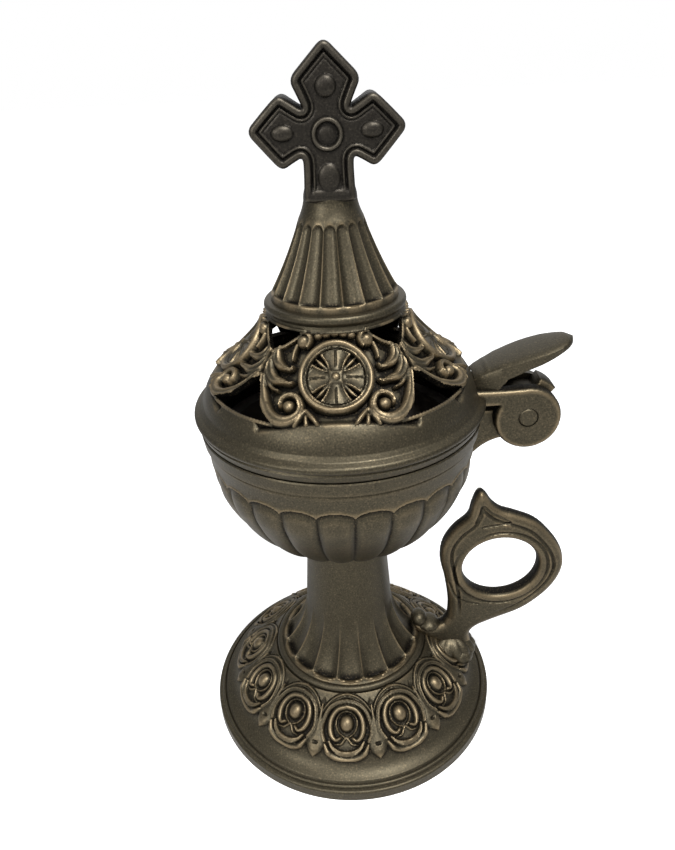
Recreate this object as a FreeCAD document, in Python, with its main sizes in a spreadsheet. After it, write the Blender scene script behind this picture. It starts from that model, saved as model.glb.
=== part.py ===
import FreeCAD, Part
import math
import os

import Sketcher

# A hand and table censer: a fluted foot with a finger ring, a lobed bowl with a charcoal cup,
# and a pierced, hinged lid with a thumb lever, a fluted spire and a cross.
# All lengths are in millimetres. The origin is on the foot's axis, on the surface it stands on.
# +Z is up, and the hinge, the thumb lever and the finger ring are on the +X side.
# The foot's, the stem's and the finger ring's heights are measured from the ground, the bowl's from
# the top of the stem, the lid's and the lever's from the bowl's rim, and the cross's from the spire.

SIZES = {
    # Foot and stem
    "foot_radius": 40.0,
    "rim_height": 2.6,
    "rim_step": 1.1,
    "rim_line": 0.8,
    "cove_inset": 2.0,
    "cove_height": 4.3,
    "cove_depth": 0.9,
    "band_outer_radius": 33.0,
    "band_outer_height": 8.6,
    "band_inner_radius": 21.5,
    "band_inner_height": 17.6,
    "ring_bead": 1.1,
    "flare_radius": 19.1,
    "flare_height": 18.9,
    "flare_mid_radius": 14.3,
    "flare_mid_height": 25.5,
    "stem_low_radius": 11.6,
    "stem_low_height": 36.0,
    "stem_radius": 10.4,
    "stem_height": 54.0,
    "cast_wall": 2.2,
    "web_thickness": 4.0,
    "stem_flutes": 16,
    "flute_depth": 0.8,
    "flute_share": 0.72,
    "flute_top": 28.5,
    # Rosettes on the foot's band
    "rosettes": 12,
    "rosette_radius": 27.7,
    "root_rosette_angle": -4.5,
    "rosette_outer": 5.6,
    "rosette_inner": 3.7,
    "rosette_step": 0.4,
    "rosette_sunk": 0.7,
    "rosette_egg": 1.9,
    # Bowl, with its line above its shoulder and its rim above that line
    "boss_radius": 11.3,
    "boss_height": 2.2,
    "bowl_mid_radius": 22.3,
    "bowl_mid_height": 9.4,
    "bowl_shoulder_radius": 32.2,
    "bowl_shoulder_height": 30.5,
    "bowl_line_height": 3.3,
    "bowl_line_step": 0.5,
    "bowl_rim_radius": 33.6,
    "bowl_rim_height": 3.7,
    "bowl_wall": 2.6,
    "bowl_floor": 4.6,
    "rim_wall": 2.2,
    "ledge_depth": 5.5,
    "bowl_lobes": 24,
    "lobe_groove_angle": 1.7,
    "lobe_groove_depth": 0.6,
    "lobe_top": 28.3,
    # Charcoal cup
    "cup_wall": 0.8,
    "cup_gap": 1.2,
    "cup_depth": 22.4,
    "cup_floor_radius": 14.0,
    "cup_flange_gap": 0.3,
    # Screw that holds bowl and stem
    "stem_screw_radius": 2.5,
    "stem_screw_slack": 0.2,
    "stem_screw_head_radius": 4.2,
    "stem_screw_head_height": 3.2,
    "stem_washer_radius": 5.6,
    "stem_washer_thickness": 1.0,
    "stem_nut_width": 8.0,
    "stem_nut_height": 4.0,
    "stem_screw_end": 1.5,
    # Lid
    "lid_gap": 0.2,
    "lip_radius": 33.4,
    "lid_bead_radius": 34.6,
    "lid_bead_height": 2.2,
    "lid_bead_top_radius": 33.1,
    "lid_bead_top_height": 4.7,
    "shoulder_base_radius": 32.2,
    "shoulder_base_height": 5.9,
    "shoulder_mid_radius": 30.3,
    "shoulder_mid_height": 10.3,
    "shoulder_top_radius": 26.6,
    "shoulder_top_height": 13.5,
    "panel_mid_radius": 19.3,
    "panel_mid_height": 20.8,
    "collar_radius": 15.4,
    "collar_height": 25.9,
    "collar_bead": 0.5,
    "lid_height": 28.9,
    "lid_wall": 2.0,
    "collar_plate": 2.2,
    # Pierced openings between the four medallion panels
    "panels": 4,
    "panel_turn": -1.5,
    "low_opening_base_height": 11.0,
    "low_opening_middle_height": 13.8,
    "low_opening_tip_height": 16.8,
    "low_opening_half_width": 9.0,
    "low_opening_middle_half_width": 3.5,
    "high_opening_top_height": 26.3,
    "high_opening_middle_height": 24.2,
    "high_opening_tip_height": 21.8,
    "high_opening_half_width": 5.4,
    "high_opening_middle_half_width": 2.1,
    "medallion_radius": 7.1,
    "medallion_wire": 0.8,
    "medallion_disc": 7.9,
    "medallion_rise": 0.5,
    "medallion_reach": 21.7,
    "medallion_height": 18.6,
    "medallion_arm": 5.6,
    "medallion_arm_end": 2.9,
    "medallion_arm_root": 1.3,
    # Hinge, whose axis is placed above the bowl's shoulder
    "hinge_reach": 44.3,
    "hinge_height": 5.5,
    "ear_radius": 7.5,
    "hinge_width": 12.6,
    "ear_thickness": 3.1,
    "knuckle_gap": 0.3,
    "knuckle_radius": 6.3,
    "pin_radius": 2.4,
    "pin_clearance": 0.05,
    "arm_bottom": 1.7,
    "arm_top": 5.7,
    "arm_end_gap": 0.6,
    "lug_top_gap": 0.6,
    "lug_root_height": 22.0,
    "nose_radius": 9.0,
    "nose_low_angle": 40.0,
    "nose_high_angle": 70.0,
    # Thumb lever
    "lever_root": 30.0,
    "lever_tip": 54.6,
    "lever_tip_height": 15.4,
    "lever_mid": 43.0,
    "lever_mid_height": 13.4,
    "lever_thickness": 1.7,
    "lever_half_width": 6.3,
    "lever_widest": 45.0,
    "lever_root_half_width": 3.6,
    "lever_root_end": 37.2,
    "lever_root_top": 8.9,
    "lever_screw_height": 7.5,
    "lever_screw_radius": 1.2,
    "lever_screw_slack": 0.1,
    "lever_screw_bite": 4.4,
    "lever_boss_radius": 2.4,
    "lever_boss_seat": 28.2,
    "lever_head_radius": 2.3,
    "lever_head_height": 1.6,
    # Spire
    "spire_radius": 14.2,
    "spire_foot_height": 2.0,
    "spire_waist_radius": 7.2,
    "spire_waist_height": 17.2,
    "spire_neck_radius": 5.7,
    "spire_height": 20.6,
    "spire_flutes": 18,
    "spire_flute_depth": 0.7,
    "spire_flute_share": 0.66,
    "spire_flute_foot": 1.2,
    "spire_flute_top": 14.6,
    "spigot_radius": 6.0,
    "spigot_length": 1.8,
    "spigot_slack": 0.1,
    "spire_screw_radius": 2.0,
    "spire_screw_bite": 11.0,
    "spire_screw_head_radius": 3.8,
    "spire_screw_head_height": 3.0,
    "spire_washer_radius": 9.0,
    "spire_washer_thickness": 1.2,
    # Cross
    "cross_centre_height": 13.8,
    "cross_reach": 15.4,
    "cross_crotch": 4.3,
    "cross_flare": 6.9,
    "cross_flare_reach": 8.9,
    "cross_tip": 1.3,
    "cross_thickness": 5.0,
    "post_top_half_width": 5.1,
    "post_top_drop": 8.0,
    "post_foot_half_width": 5.6,
    "cross_recess": 0.6,
    "cross_border": 1.5,
    "cross_boss_radius": 2.7,
    "peg_radius": 3.0,
    "peg_length": 5.0,
    # Finger ring
    "ring_thickness": 5.0,
    "ring_hole_reach": 42.2,
    "ring_hole_height": 42.0,
    "ring_hole_half_width": 10.3,
    "ring_hole_half_height": 9.5,
    "ring_band": 7.0,
    "ring_band_top": 5.1,
    "horn_reach": 36.2,
    "horn_height": 66.4,
    "horn_half_width": 2.2,
    "neck_inner": 27.5,
    "neck_outer": 34.8,
    "neck_height": 23.3,
    "root_inner": 20.6,
    "root_height": 20.4,
    "root_bottom": 5.0,
    "root_half_width": 6.2,
    "root_centre": 28.4,
    "root_half_length": 8.0,
    "scroll_radius": 2.1,
    "scroll_reach": 19.4,
    "scroll_height": 23.2,
    "handle_screw_radius": 1.25,
    "handle_screw_slack": 0.15,
    "handle_screw_head_radius": 2.4,
    "handle_screw_head_height": 1.6,
    "handle_screw_length": 9.5,
    # The outer screw is placed in from the foot's edge, the inner one in from the outer one,
    # and the seats of their heads under the rosette band's surface
    "handle_screw_inner": 5.2,
    "handle_screw_outer": 9.8,
    "handle_boss_radius": 2.6,
    "handle_boss_inner_seat": 6.46,
    "handle_boss_outer_seat": 5.79,
}

doc = FreeCAD.newDocument("thymiaterion")
sheet = doc.addObject("Spreadsheet::Sheet", "Sizes")
for row, (name, value) in enumerate(SIZES.items(), start=1):
    sheet.set("A%d" % row, name)
    sheet.set("B%d" % row, str(value))
    sheet.setAlias("B%d" % row, name)
doc.recompute()


def vector(x, y, z=0.0):
    return FreeCAD.Vector(x, y, z)


class Size:
    """A number together with the sheet expression that gives it."""

    def __init__(self, value, text):
        self.value = float(value)
        self.text = text

    def __add__(self, other):
        other = as_size(other)
        return Size(self.value + other.value, "(%s + %s)" % (self.text, other.text))

    def __sub__(self, other):
        other = as_size(other)
        return Size(self.value - other.value, "(%s - %s)" % (self.text, other.text))

    def __mul__(self, other):
        other = as_size(other)
        return Size(self.value * other.value, "(%s * %s)" % (self.text, other.text))

    def __truediv__(self, other):
        other = as_size(other)
        return Size(self.value / other.value, "(%s / %s)" % (self.text, other.text))

    def __neg__(self):
        return Size(-self.value, "(-1 * %s)" % self.text)

    def __radd__(self, other):
        return as_size(other) + self

    def __rsub__(self, other):
        return as_size(other) - self

    def __rmul__(self, other):
        return as_size(other) * self

    def __rtruediv__(self, other):
        return as_size(other) / self


def as_size(number):
    """Wrap a plain number; a Size stays as it is."""
    if isinstance(number, Size):
        return number
    return Size(number, repr(float(number)))


def cosine(degrees):
    degrees = as_size(degrees)
    return Size(math.cos(math.radians(degrees.value)), "cos(%s * 1 deg)" % degrees.text)


def sine(degrees):
    degrees = as_size(degrees)
    return Size(math.sin(math.radians(degrees.value)), "sin(%s * 1 deg)" % degrees.text)


class SizeTable:
    """Gives each value of the sheet by its alias."""

    def __getattr__(self, alias):
        return Size(SIZES[alias], "Sizes.%s" % alias)


s = SizeTable()
ZERO = as_size(0)
FULL_TURN = 360.0


def on_stem(height):
    """Height above the ground of a point that is placed above the stem's top."""
    return s.stem_height + height


def bowl_shoulder():
    """Height of the bowl's shoulder, above its lobes."""
    return on_stem(s.bowl_shoulder_height)


def bowl_line():
    """Height of the thin line round the bowl, under its rim."""
    return bowl_shoulder() + s.bowl_line_height


def bowl_top():
    """Height of the bowl's rim."""
    return bowl_line() + s.bowl_rim_height


def on_lid(height):
    """Height above the ground of a point on the lid, which is placed above the bowl's rim."""
    return bowl_top() + height


def hinge_centre():
    """Height of the hinge's axis, which is placed above the bowl's shoulder."""
    return bowl_shoulder() + s.hinge_height


def new_body(label):
    body = doc.addObject("PartDesign::Body", label)
    body.Label = label
    return body


def origin_feature(body, role):
    for feature in body.Origin.OriginFeatures:
        if feature.Role == role:
            return feature
    raise ValueError(role)


def new_sketch(body, name, plane, height=None, turn=None):
    """An empty sketch on one of the body's own planes, lifted along its normal or turned about
    its own upright axis if asked."""
    sketch = body.newObject("Sketcher::SketchObject", name)
    sketch.AttachmentSupport = [(origin_feature(body, plane), "")]
    sketch.MapMode = "FlatFace"
    if turn is not None:
        upright = FreeCAD.Rotation(vector(0, 1, 0), turn.value)
        sketch.AttachmentOffset = FreeCAD.Placement(vector(0, 0), upright)
        sketch.setExpression("AttachmentOffset.Rotation.Angle", turn.text + " * 1 deg")
    if height is not None:
        sketch.setExpression("AttachmentOffset.Base.z", height.text)
    return sketch


def pin_point(sketch, geometry, point, place):
    """Tie one point of the sketch to two sizes measured from its origin."""
    for kind, axis, value in (("DistanceX", -2, place[0]), ("DistanceY", -1, place[1])):
        value = as_size(value)
        if value.text == ZERO.text:
            sketch.addConstraint(Sketcher.Constraint("PointOnObject", geometry, point, axis))
            continue
        index = sketch.addConstraint(Sketcher.Constraint(kind, -1, 1, geometry, point, value.value))
        sketch.setExpression("Constraints[%d]" % index, value.text)


def draw_outline(sketch, steps, closing=None):
    """Closed outline. A step (x, y) is a line to that corner, and (mx, my, x, y) is an arc through
    the middle point to that corner. The last side is a line to the first corner, or an arc
    through the closing point."""
    corners = [tuple(as_size(v) for v in step[-2:]) for step in steps]
    middles = [tuple(as_size(v) for v in step[:2]) if len(step) == 4 else None for step in steps]
    middles[0] = tuple(as_size(v) for v in closing) if closing else None
    count = len(corners)
    sides = []
    for i in range(count):
        start, end, middle = corners[i], corners[(i + 1) % count], middles[(i + 1) % count]
        first = vector(start[0].value, start[1].value)
        last = vector(end[0].value, end[1].value)
        if middle is None:
            side = sketch.addGeometry(Part.LineSegment(first, last), False)
            sides.append((side, 1, 2))
            continue
        through = vector(middle[0].value, middle[1].value)
        turns_left = (through - first).cross(last - through).z > 0
        arc = Part.Arc(first, through, last) if turns_left else Part.Arc(last, through, first)
        side = sketch.addGeometry(arc, False)
        sides.append((side, 1, 2) if turns_left else (side, 2, 1))
        mark = sketch.addGeometry(Part.Point(through), True)
        pin_point(sketch, mark, 1, middle)
        sketch.addConstraint(Sketcher.Constraint("PointOnObject", mark, 1, side))
    for i in range(count):
        side, first, last = sides[i]
        following, following_first, _ = sides[(i + 1) % count]
        sketch.addConstraint(Sketcher.Constraint("Coincident", side, last, following, following_first))
        pin_point(sketch, side, first, corners[i])


def draw_circle(sketch, centre, radius):
    centre = tuple(as_size(v) for v in centre)
    circle = Part.Circle(vector(centre[0].value, centre[1].value), vector(0, 0, 1), radius.value)
    index = sketch.addGeometry(circle, False)
    pin_point(sketch, index, 3, centre)
    rule = sketch.addConstraint(Sketcher.Constraint("Radius", index, radius.value))
    sketch.setExpression("Constraints[%d]" % rule, radius.text)


def revolve(body, name, steps, angle=None, cut=False, closing=None):
    """Turn an outline in the XZ plane round the Z axis, whole or over a small angle about it."""
    sketch = new_sketch(body, name + "_outline", "XZ_Plane")
    draw_outline(sketch, steps, closing)
    feature = body.newObject("PartDesign::Groove" if cut else "PartDesign::Revolution", name)
    feature.Profile = sketch
    feature.ReferenceAxis = (sketch, ["V_Axis"])
    feature.Angle = FULL_TURN
    if angle is not None:
        feature.setExpression("Angle", angle.text)
        feature.Midplane = True
    body.Tip = feature
    return feature


def extrude(body, name, plane, length, outlines=(), circles=(), cut=False, both_ways=True,
            height=None, turn=None):
    """Pad or pocket of outlines and circles, by a stated length."""
    sketch = new_sketch(body, name + "_outline", plane, height, turn)
    for steps, closing in outlines:
        draw_outline(sketch, steps, closing)
    for centre, radius in circles:
        draw_circle(sketch, centre, radius)
    feature = body.newObject("PartDesign::Pocket" if cut else "PartDesign::Pad", name)
    feature.Profile = sketch
    feature.Type = "Length"
    feature.SideType = "Symmetric" if both_ways else "One side"
    feature.setExpression("Length", as_size(length).text)
    body.Tip = feature
    return feature


def around_axis(body, name, feature, count, angle=None):
    """Repeat features evenly round the Z axis, over the whole turn or a stated angle."""
    doc.recompute()
    pattern = body.newObject("PartDesign::PolarPattern", name)
    pattern.Originals = feature if isinstance(feature, list) else [feature]
    pattern.Axis = (origin_feature(body, "Z_Axis"), [""])
    pattern.Angle = FULL_TURN
    if angle is not None:
        pattern.setExpression("Angle", angle.text)
    pattern.setExpression("Occurrences", count.text)
    body.Tip = pattern
    return pattern


def place_primitive(body, kind, name, sizes, place, turn=None):
    """A round primitive with its centre at a place given by sizes."""
    feature = body.newObject("PartDesign::" + kind, name)
    for size_name, size in sizes.items():
        feature.setExpression(size_name, as_size(size).text)
    set_place(feature, place, turn)
    body.Tip = feature
    return feature


def set_place(feature, place, turn=None):
    if turn is not None:
        feature.Placement = FreeCAD.Placement(vector(0, 0), turn)
    for axis, size in zip("xyz", place):
        feature.setExpression("Placement.Base.%s" % axis, as_size(size).text)


def tilt_outwards(run, rise):
    """Turn about Y that lays a disc on a slope which falls away from the axis."""
    return FreeCAD.Rotation(FreeCAD.Vector(0, 1, 0), math.degrees(math.atan2(rise.value, run.value)))


X_DIRECTION = FreeCAD.Rotation(FreeCAD.Vector(0, 1, 0), 90)


# Foot and stem

def foot_outside():
    """The foot's outer outline from its rim up to the stem's top."""
    rim_top = s.rim_height + s.rim_step / 2
    line_top = rim_top + s.rim_line
    return [
        (s.foot_radius, ZERO),
        (s.foot_radius, s.rim_height),
        (s.foot_radius - s.rim_step, rim_top),
        (s.foot_radius - s.rim_step - s.rim_line / 4, line_top - s.rim_line / 3,
         s.foot_radius - s.cove_inset, line_top),
        (s.foot_radius - s.cove_inset, s.cove_height + s.cove_depth / 4),
        ((s.foot_radius - s.cove_inset + s.band_outer_radius) / 2 - s.cove_depth / 2,
         (s.cove_height + s.band_outer_height) / 2 - s.cove_depth / 2,
         s.band_outer_radius, s.band_outer_height),
        (s.band_inner_radius, s.band_inner_height),
        (s.band_inner_radius - s.ring_bead, s.band_inner_height + s.ring_bead * 1.2,
         s.flare_radius, s.flare_height),
        (s.flare_mid_radius, s.flare_mid_height, s.stem_low_radius, s.stem_low_height),
        (s.stem_radius, s.stem_height),
    ]


def foot_inside():
    """The hollow under the foot and up the stem, to the web's underside."""
    web_bottom = s.stem_height - s.web_thickness
    return [
        (s.stem_radius - s.cast_wall, web_bottom),
        (s.stem_low_radius - s.cast_wall, s.stem_low_height),
        (s.flare_mid_radius - s.cast_wall, s.flare_mid_height - s.cast_wall / 2,
         s.flare_radius - s.cast_wall, s.flare_height - s.cast_wall),
        (s.band_inner_radius - s.cast_wall / 2, s.band_inner_height - s.cast_wall),
        (s.band_outer_radius - s.cast_wall / 2, s.band_outer_height - s.cast_wall),
        (s.foot_radius - s.cove_inset - s.cast_wall, s.rim_height),
        (s.foot_radius - s.cast_wall, ZERO),
    ]


def band_point(radius):
    """Height of the rosette band's surface at a radius."""
    slope = (s.band_inner_height - s.band_outer_height) / (s.band_outer_radius - s.band_inner_radius)
    return s.band_outer_height + (s.band_outer_radius - radius) * slope


def handle_screw_seats():
    """Number, reach and seat height of each screw that holds the ring handle."""
    outer = s.foot_radius - s.handle_screw_outer
    inner = outer - s.handle_screw_inner
    return ((1, inner, band_point(inner) - s.handle_boss_inner_seat),
            (2, outer, band_point(outer) - s.handle_boss_outer_seat))


def make_foot():
    body = new_body("foot")
    revolve(body, "foot_solid", foot_outside() + [(ZERO, s.stem_height), (ZERO, ZERO)])
    inside = foot_inside()
    revolve(body, "foot_hollow", [(ZERO, ZERO), (ZERO, inside[0][1])] + inside, cut=True)
    for number, reach, seat in handle_screw_seats():
        rise = band_point(reach + s.handle_boss_radius) - s.cast_wall / 4 - seat
        place_primitive(body, "AdditiveCylinder", "handle_boss_%d" % number,
                        {"Radius": s.handle_boss_radius, "Height": rise}, (reach, ZERO, seat))
    for number, reach, seat in handle_screw_seats():
        place_primitive(body, "SubtractiveCylinder", "handle_hole_%d" % number,
                        {"Radius": s.handle_screw_radius + s.handle_screw_slack,
                         "Height": s.band_inner_height},
                        (reach, ZERO, seat - s.handle_screw_head_height))
    extrude(body, "stem_screw_hole", "XY_Plane", s.web_thickness * 3,
            circles=[((ZERO, ZERO), s.stem_screw_radius + s.stem_screw_slack)],
            cut=True, height=s.stem_height)
    make_stem_flutes(body)
    make_rosettes(body)
    return body


def make_stem_flutes(body):
    """Round channels up the stem's flare, cut a little into its surface."""
    low = s.flare_height + s.flute_depth
    cut = [
        (s.flare_radius - s.flute_depth, low),
        (s.flare_mid_radius - s.flute_depth, s.flare_mid_height - s.flute_depth / 2,
         s.stem_low_radius + s.flute_depth, s.flute_top),
        (s.foot_radius, s.flute_top),
        (s.foot_radius, low),
    ]
    angle = s.flute_share * FULL_TURN / s.stem_flutes
    groove = revolve(body, "stem_flute", cut, angle=angle, cut=True)
    around_axis(body, "stem_flute_ring", groove, s.stem_flutes)


def make_rosettes(body):
    """Rosettes on the band, two stepped discs with an egg on them, all round but for the place
    that the finger ring's root covers."""
    spacing = FULL_TURN / s.rosettes
    first_angle = s.root_rosette_angle + spacing
    height = band_point(s.rosette_radius) - s.rosette_sunk
    slope = tilt_outwards(s.band_outer_radius - s.band_inner_radius,
                          s.band_inner_height - s.band_outer_height)
    around = FreeCAD.Rotation(FreeCAD.Vector(0, 0, 1), first_angle.value)
    place = (s.rosette_radius * cosine(first_angle), s.rosette_radius * sine(first_angle), height)
    turn = around.multiply(slope)
    discs = [
        place_primitive(body, "AdditiveCylinder", name,
                        {"Radius": radius, "Height": s.rosette_sunk * 1.4 + rise}, place, turn)
        for name, radius, rise in (("rosette_rim", s.rosette_outer, s.rosette_step),
                                   ("rosette_heart", s.rosette_inner, s.rosette_step * 2))
    ]
    egg = place_primitive(body, "AdditiveSphere", "rosette_egg", {"Radius": s.rosette_egg},
                          place[:2] + (height + s.rosette_sunk * 2,), turn)
    around_axis(body, "rosette_band", discs + [egg], s.rosettes - 1, FULL_TURN - spacing * 2)


# Finger ring handle

def trim_to(body, name, outside):
    """Cut away whatever lies inside another piece's turned outline, so that the two meet."""
    top = outside[-1][-1]
    revolve(body, name, [(ZERO, ZERO)] + outside + [(ZERO, top)], cut=True)


def make_ring_handle():
    body = new_body("ring_handle")
    reach, height = s.ring_hole_reach, s.ring_hole_height
    right = reach + s.ring_hole_half_width + s.ring_band
    left = reach - s.ring_hole_half_width - s.ring_band
    ring_top = height + s.ring_hole_half_height
    outer = [
        (s.neck_outer, s.root_height - s.root_half_width),
        (s.neck_outer + 1.5, s.neck_height - s.root_half_width, reach + 0.7, s.neck_height - 2.2),
        (reach + s.ring_hole_half_width - 1.5, height - s.ring_hole_half_height - s.ring_band - 0.7),
        (right, height - 1.5, reach + s.ring_hole_half_width, ring_top + s.ring_band_top - 1.8),
        (reach + 1.8, ring_top + s.ring_band_top + 3.1,
         s.horn_reach + s.horn_half_width, s.horn_height - 1.4),
        (s.horn_reach, s.horn_height, s.horn_reach - s.horn_half_width, s.horn_height - 1.4),
        (left + 7.6, ring_top + 8.5, left + 4.4, ring_top + 3.3),
        (left + 0.1, height + 2.6, left + 1.4, height - 6.3),
        (s.neck_inner + 0.2, s.neck_height + 4.2),
        (s.neck_inner, s.neck_height, s.neck_inner - 1.5, s.neck_height - 1.2),
        (s.root_inner + 1.4, s.root_height),
        (s.root_inner - 0.6, s.root_height + 1.2),
        (s.root_inner - 0.6, s.root_bottom),
        (s.neck_outer, s.root_bottom),
    ]
    hole = [
        (reach - s.ring_hole_half_width, height),
        (reach, ring_top, reach + s.ring_hole_half_width, height),
    ]
    hole_closing = (reach, height - s.ring_hole_half_height)
    extrude(body, "ring_plate", "XZ_Plane", s.ring_thickness,
            outlines=[(outer, None), (hole, hole_closing)])
    place_primitive(body, "AdditiveEllipsoid", "root_leaf",
                    {"Radius1": s.root_half_width / 1.2, "Radius2": s.root_half_length,
                     "Radius3": s.root_half_width},
                    (s.root_centre, ZERO, band_point(s.root_centre)))
    place_primitive(body, "AdditiveSphere", "root_scroll", {"Radius": s.scroll_radius},
                    (s.scroll_reach, ZERO, s.scroll_height))
    trim_to(body, "root_seat", foot_outside())
    make_handle_holes(body)
    return body


def make_handle_holes(body):
    """Threaded holes up into the handle's root, one for each screw."""
    for number, reach, seat in handle_screw_seats():
        place_primitive(body, "SubtractiveCylinder", "handle_thread_%d" % number,
                        {"Radius": s.handle_screw_radius, "Height": s.handle_screw_length},
                        (reach, ZERO, seat))


def make_handle_screws():
    body = new_body("handle_screws")
    for number, reach, seat in handle_screw_seats():
        place_primitive(body, "AdditiveCylinder", "screw_head_%d" % number,
                        {"Radius": s.handle_screw_head_radius, "Height": s.handle_screw_head_height},
                        (reach, ZERO, seat - s.handle_screw_head_height))
        place_primitive(body, "AdditiveCylinder", "screw_shank_%d" % number,
                        {"Radius": s.handle_screw_radius, "Height": s.handle_screw_length},
                        (reach, ZERO, seat))
    return body


# Bowl

def bowl_outside():
    """The bowl's outer outline from its boss up to the rim."""
    return [
        (s.boss_radius, s.stem_height),
        (s.boss_radius, s.stem_height + s.boss_height),
        (s.bowl_mid_radius, on_stem(s.bowl_mid_height), s.bowl_shoulder_radius, bowl_shoulder()),
        (s.bowl_shoulder_radius + s.bowl_line_step, bowl_line()),
        (s.bowl_shoulder_radius + s.bowl_line_step * 2, bowl_line() + s.bowl_line_step),
        (s.bowl_rim_radius, bowl_top()),
    ]


def bowl_inside():
    """The bowl's hollow from the rim down past the cup's ledge to the floor."""
    ledge = bowl_top() - s.ledge_depth
    return [
        (s.bowl_rim_radius - s.rim_wall, bowl_top()),
        (s.bowl_rim_radius - s.rim_wall, ledge),
        (s.bowl_shoulder_radius - s.bowl_wall, ledge),
        (s.bowl_mid_radius - s.bowl_wall * 0.7, on_stem(s.bowl_mid_height) + s.bowl_wall * 0.7,
         s.boss_radius - s.boss_height / 8, s.stem_height + s.bowl_floor),
    ]


def make_bowl():
    body = new_body("bowl")
    revolve(body, "bowl_solid",
            [(ZERO, s.stem_height)] + bowl_outside() + [(ZERO, bowl_top())])
    make_bowl_lobes(body)
    lug_top = bowl_top() - s.lug_top_gap
    knuckle_width = s.hinge_width - s.ear_thickness * 2 - s.knuckle_gap * 2
    lug = [
        (s.bowl_shoulder_radius - s.bowl_wall, on_stem(s.lug_root_height)),
        (s.bowl_shoulder_radius + 1.0, on_stem(s.lug_root_height) + 1.5),
        (s.bowl_shoulder_radius + 2.9, on_stem(s.lug_root_height) + 4.3,
         s.hinge_reach - 5.0, hinge_centre() - s.ear_radius + 0.4),
        (s.hinge_reach, hinge_centre() - s.knuckle_radius),
        (s.hinge_reach, hinge_centre()),
        (s.hinge_reach - s.knuckle_radius + s.lug_top_gap, lug_top),
        (s.bowl_shoulder_radius - s.bowl_wall, lug_top),
    ]
    extrude(body, "hinge_lug", "XZ_Plane", knuckle_width, outlines=[(lug, None)])
    extrude(body, "knuckle", "XZ_Plane", knuckle_width,
            circles=[((s.hinge_reach, hinge_centre()), s.knuckle_radius)])
    nose = [(s.hinge_reach, hinge_centre())]
    nose += [(s.hinge_reach + s.nose_radius * cosine(angle),
              hinge_centre() + s.nose_radius * sine(angle))
             for angle in (s.nose_low_angle, s.nose_high_angle)]
    extrude(body, "stop_nose", "XZ_Plane", knuckle_width, outlines=[(nose, None)])
    inside = bowl_inside()
    revolve(body, "bowl_hollow",
            [(ZERO, s.stem_height + s.bowl_floor), (ZERO, bowl_top())] + inside, cut=True)
    extrude(body, "pin_bore", "XZ_Plane", s.hinge_width,
            circles=[((s.hinge_reach, hinge_centre()), s.pin_radius + s.pin_clearance)], cut=True)
    extrude(body, "bowl_screw_hole", "XY_Plane", s.bowl_floor * 3,
            circles=[((ZERO, ZERO), s.stem_screw_radius + s.stem_screw_slack)],
            cut=True, height=s.stem_height)
    return body


def make_bowl_lobes(body):
    """Thin grooves between the lobes, from the boss up to the plain band."""
    foot = s.stem_height + s.boss_height * 2
    cut = [
        (s.boss_radius + s.boss_height * 1.6, foot),
        (s.bowl_mid_radius - s.lobe_groove_depth * 0.7,
         on_stem(s.bowl_mid_height) + s.lobe_groove_depth * 0.7,
         s.bowl_shoulder_radius - s.lobe_groove_depth, on_stem(s.lobe_top)),
        (s.bowl_rim_radius + s.lobe_groove_depth, on_stem(s.lobe_top)),
        (s.bowl_rim_radius + s.lobe_groove_depth, foot),
    ]
    groove = revolve(body, "lobe_groove", cut, angle=s.lobe_groove_angle, cut=True)
    around_axis(body, "lobe_grooves", groove, s.bowl_lobes)


def make_charcoal_cup():
    """Thin pressed cup whose flange lies on the bowl's ledge."""
    body = new_body("charcoal_cup")
    ledge = bowl_top() - s.ledge_depth
    side = s.bowl_shoulder_radius - s.bowl_wall - s.cup_gap
    floor = ledge - s.cup_depth
    flange = s.bowl_rim_radius - s.rim_wall - s.cup_flange_gap
    mid_radius = side * 0.86
    mid_height = floor + s.cup_depth * 0.38
    revolve(body, "cup_shell", [
        (ZERO, floor),
        (s.cup_floor_radius, floor),
        (mid_radius, mid_height, side, ledge),
        (flange, ledge),
        (flange, ledge + s.cup_wall),
        (side - s.cup_wall, ledge + s.cup_wall),
        (mid_radius - s.cup_wall, mid_height + s.cup_wall / 2,
         s.cup_floor_radius - s.cup_wall / 2, floor + s.cup_wall),
        (ZERO, floor + s.cup_wall),
    ])
    return body


# Screw, washer and nut that hold bowl and stem together

def washer(label, bottom, thickness, radius, bore):
    body = new_body(label)
    extrude(body, label + "_disc", "XY_Plane", thickness, both_ways=False, height=bottom,
            circles=[((ZERO, ZERO), radius), ((ZERO, ZERO), bore)])
    return body


def make_stem_screw():
    body = new_body("stem_screw")
    floor = s.stem_height + s.bowl_floor
    nut_bottom = (s.stem_height - s.web_thickness - s.stem_washer_thickness - s.stem_nut_height)
    end = nut_bottom - s.stem_screw_end
    revolve(body, "screw_solid", [
        (ZERO, end),
        (s.stem_screw_radius, end),
        (s.stem_screw_radius, floor),
        (s.stem_screw_head_radius, floor),
        (s.stem_screw_head_radius, floor + s.stem_screw_head_height / 2),
        (s.stem_screw_head_radius / 2, floor + s.stem_screw_head_height),
        (ZERO, floor + s.stem_screw_head_height),
    ])
    return body


def make_stem_nut():
    body = new_body("stem_nut")
    top = s.stem_height - s.web_thickness - s.stem_washer_thickness
    corner = s.stem_nut_width / 2 / cosine(30)
    hexagon = [(corner * cosine(60 * k), corner * sine(60 * k)) for k in range(6)]
    extrude(body, "nut_solid", "XY_Plane", s.stem_nut_height, both_ways=False,
            height=top - s.stem_nut_height,
            outlines=[(hexagon, None)], circles=[((ZERO, ZERO), s.stem_screw_radius)])
    return body


# Lid

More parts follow.
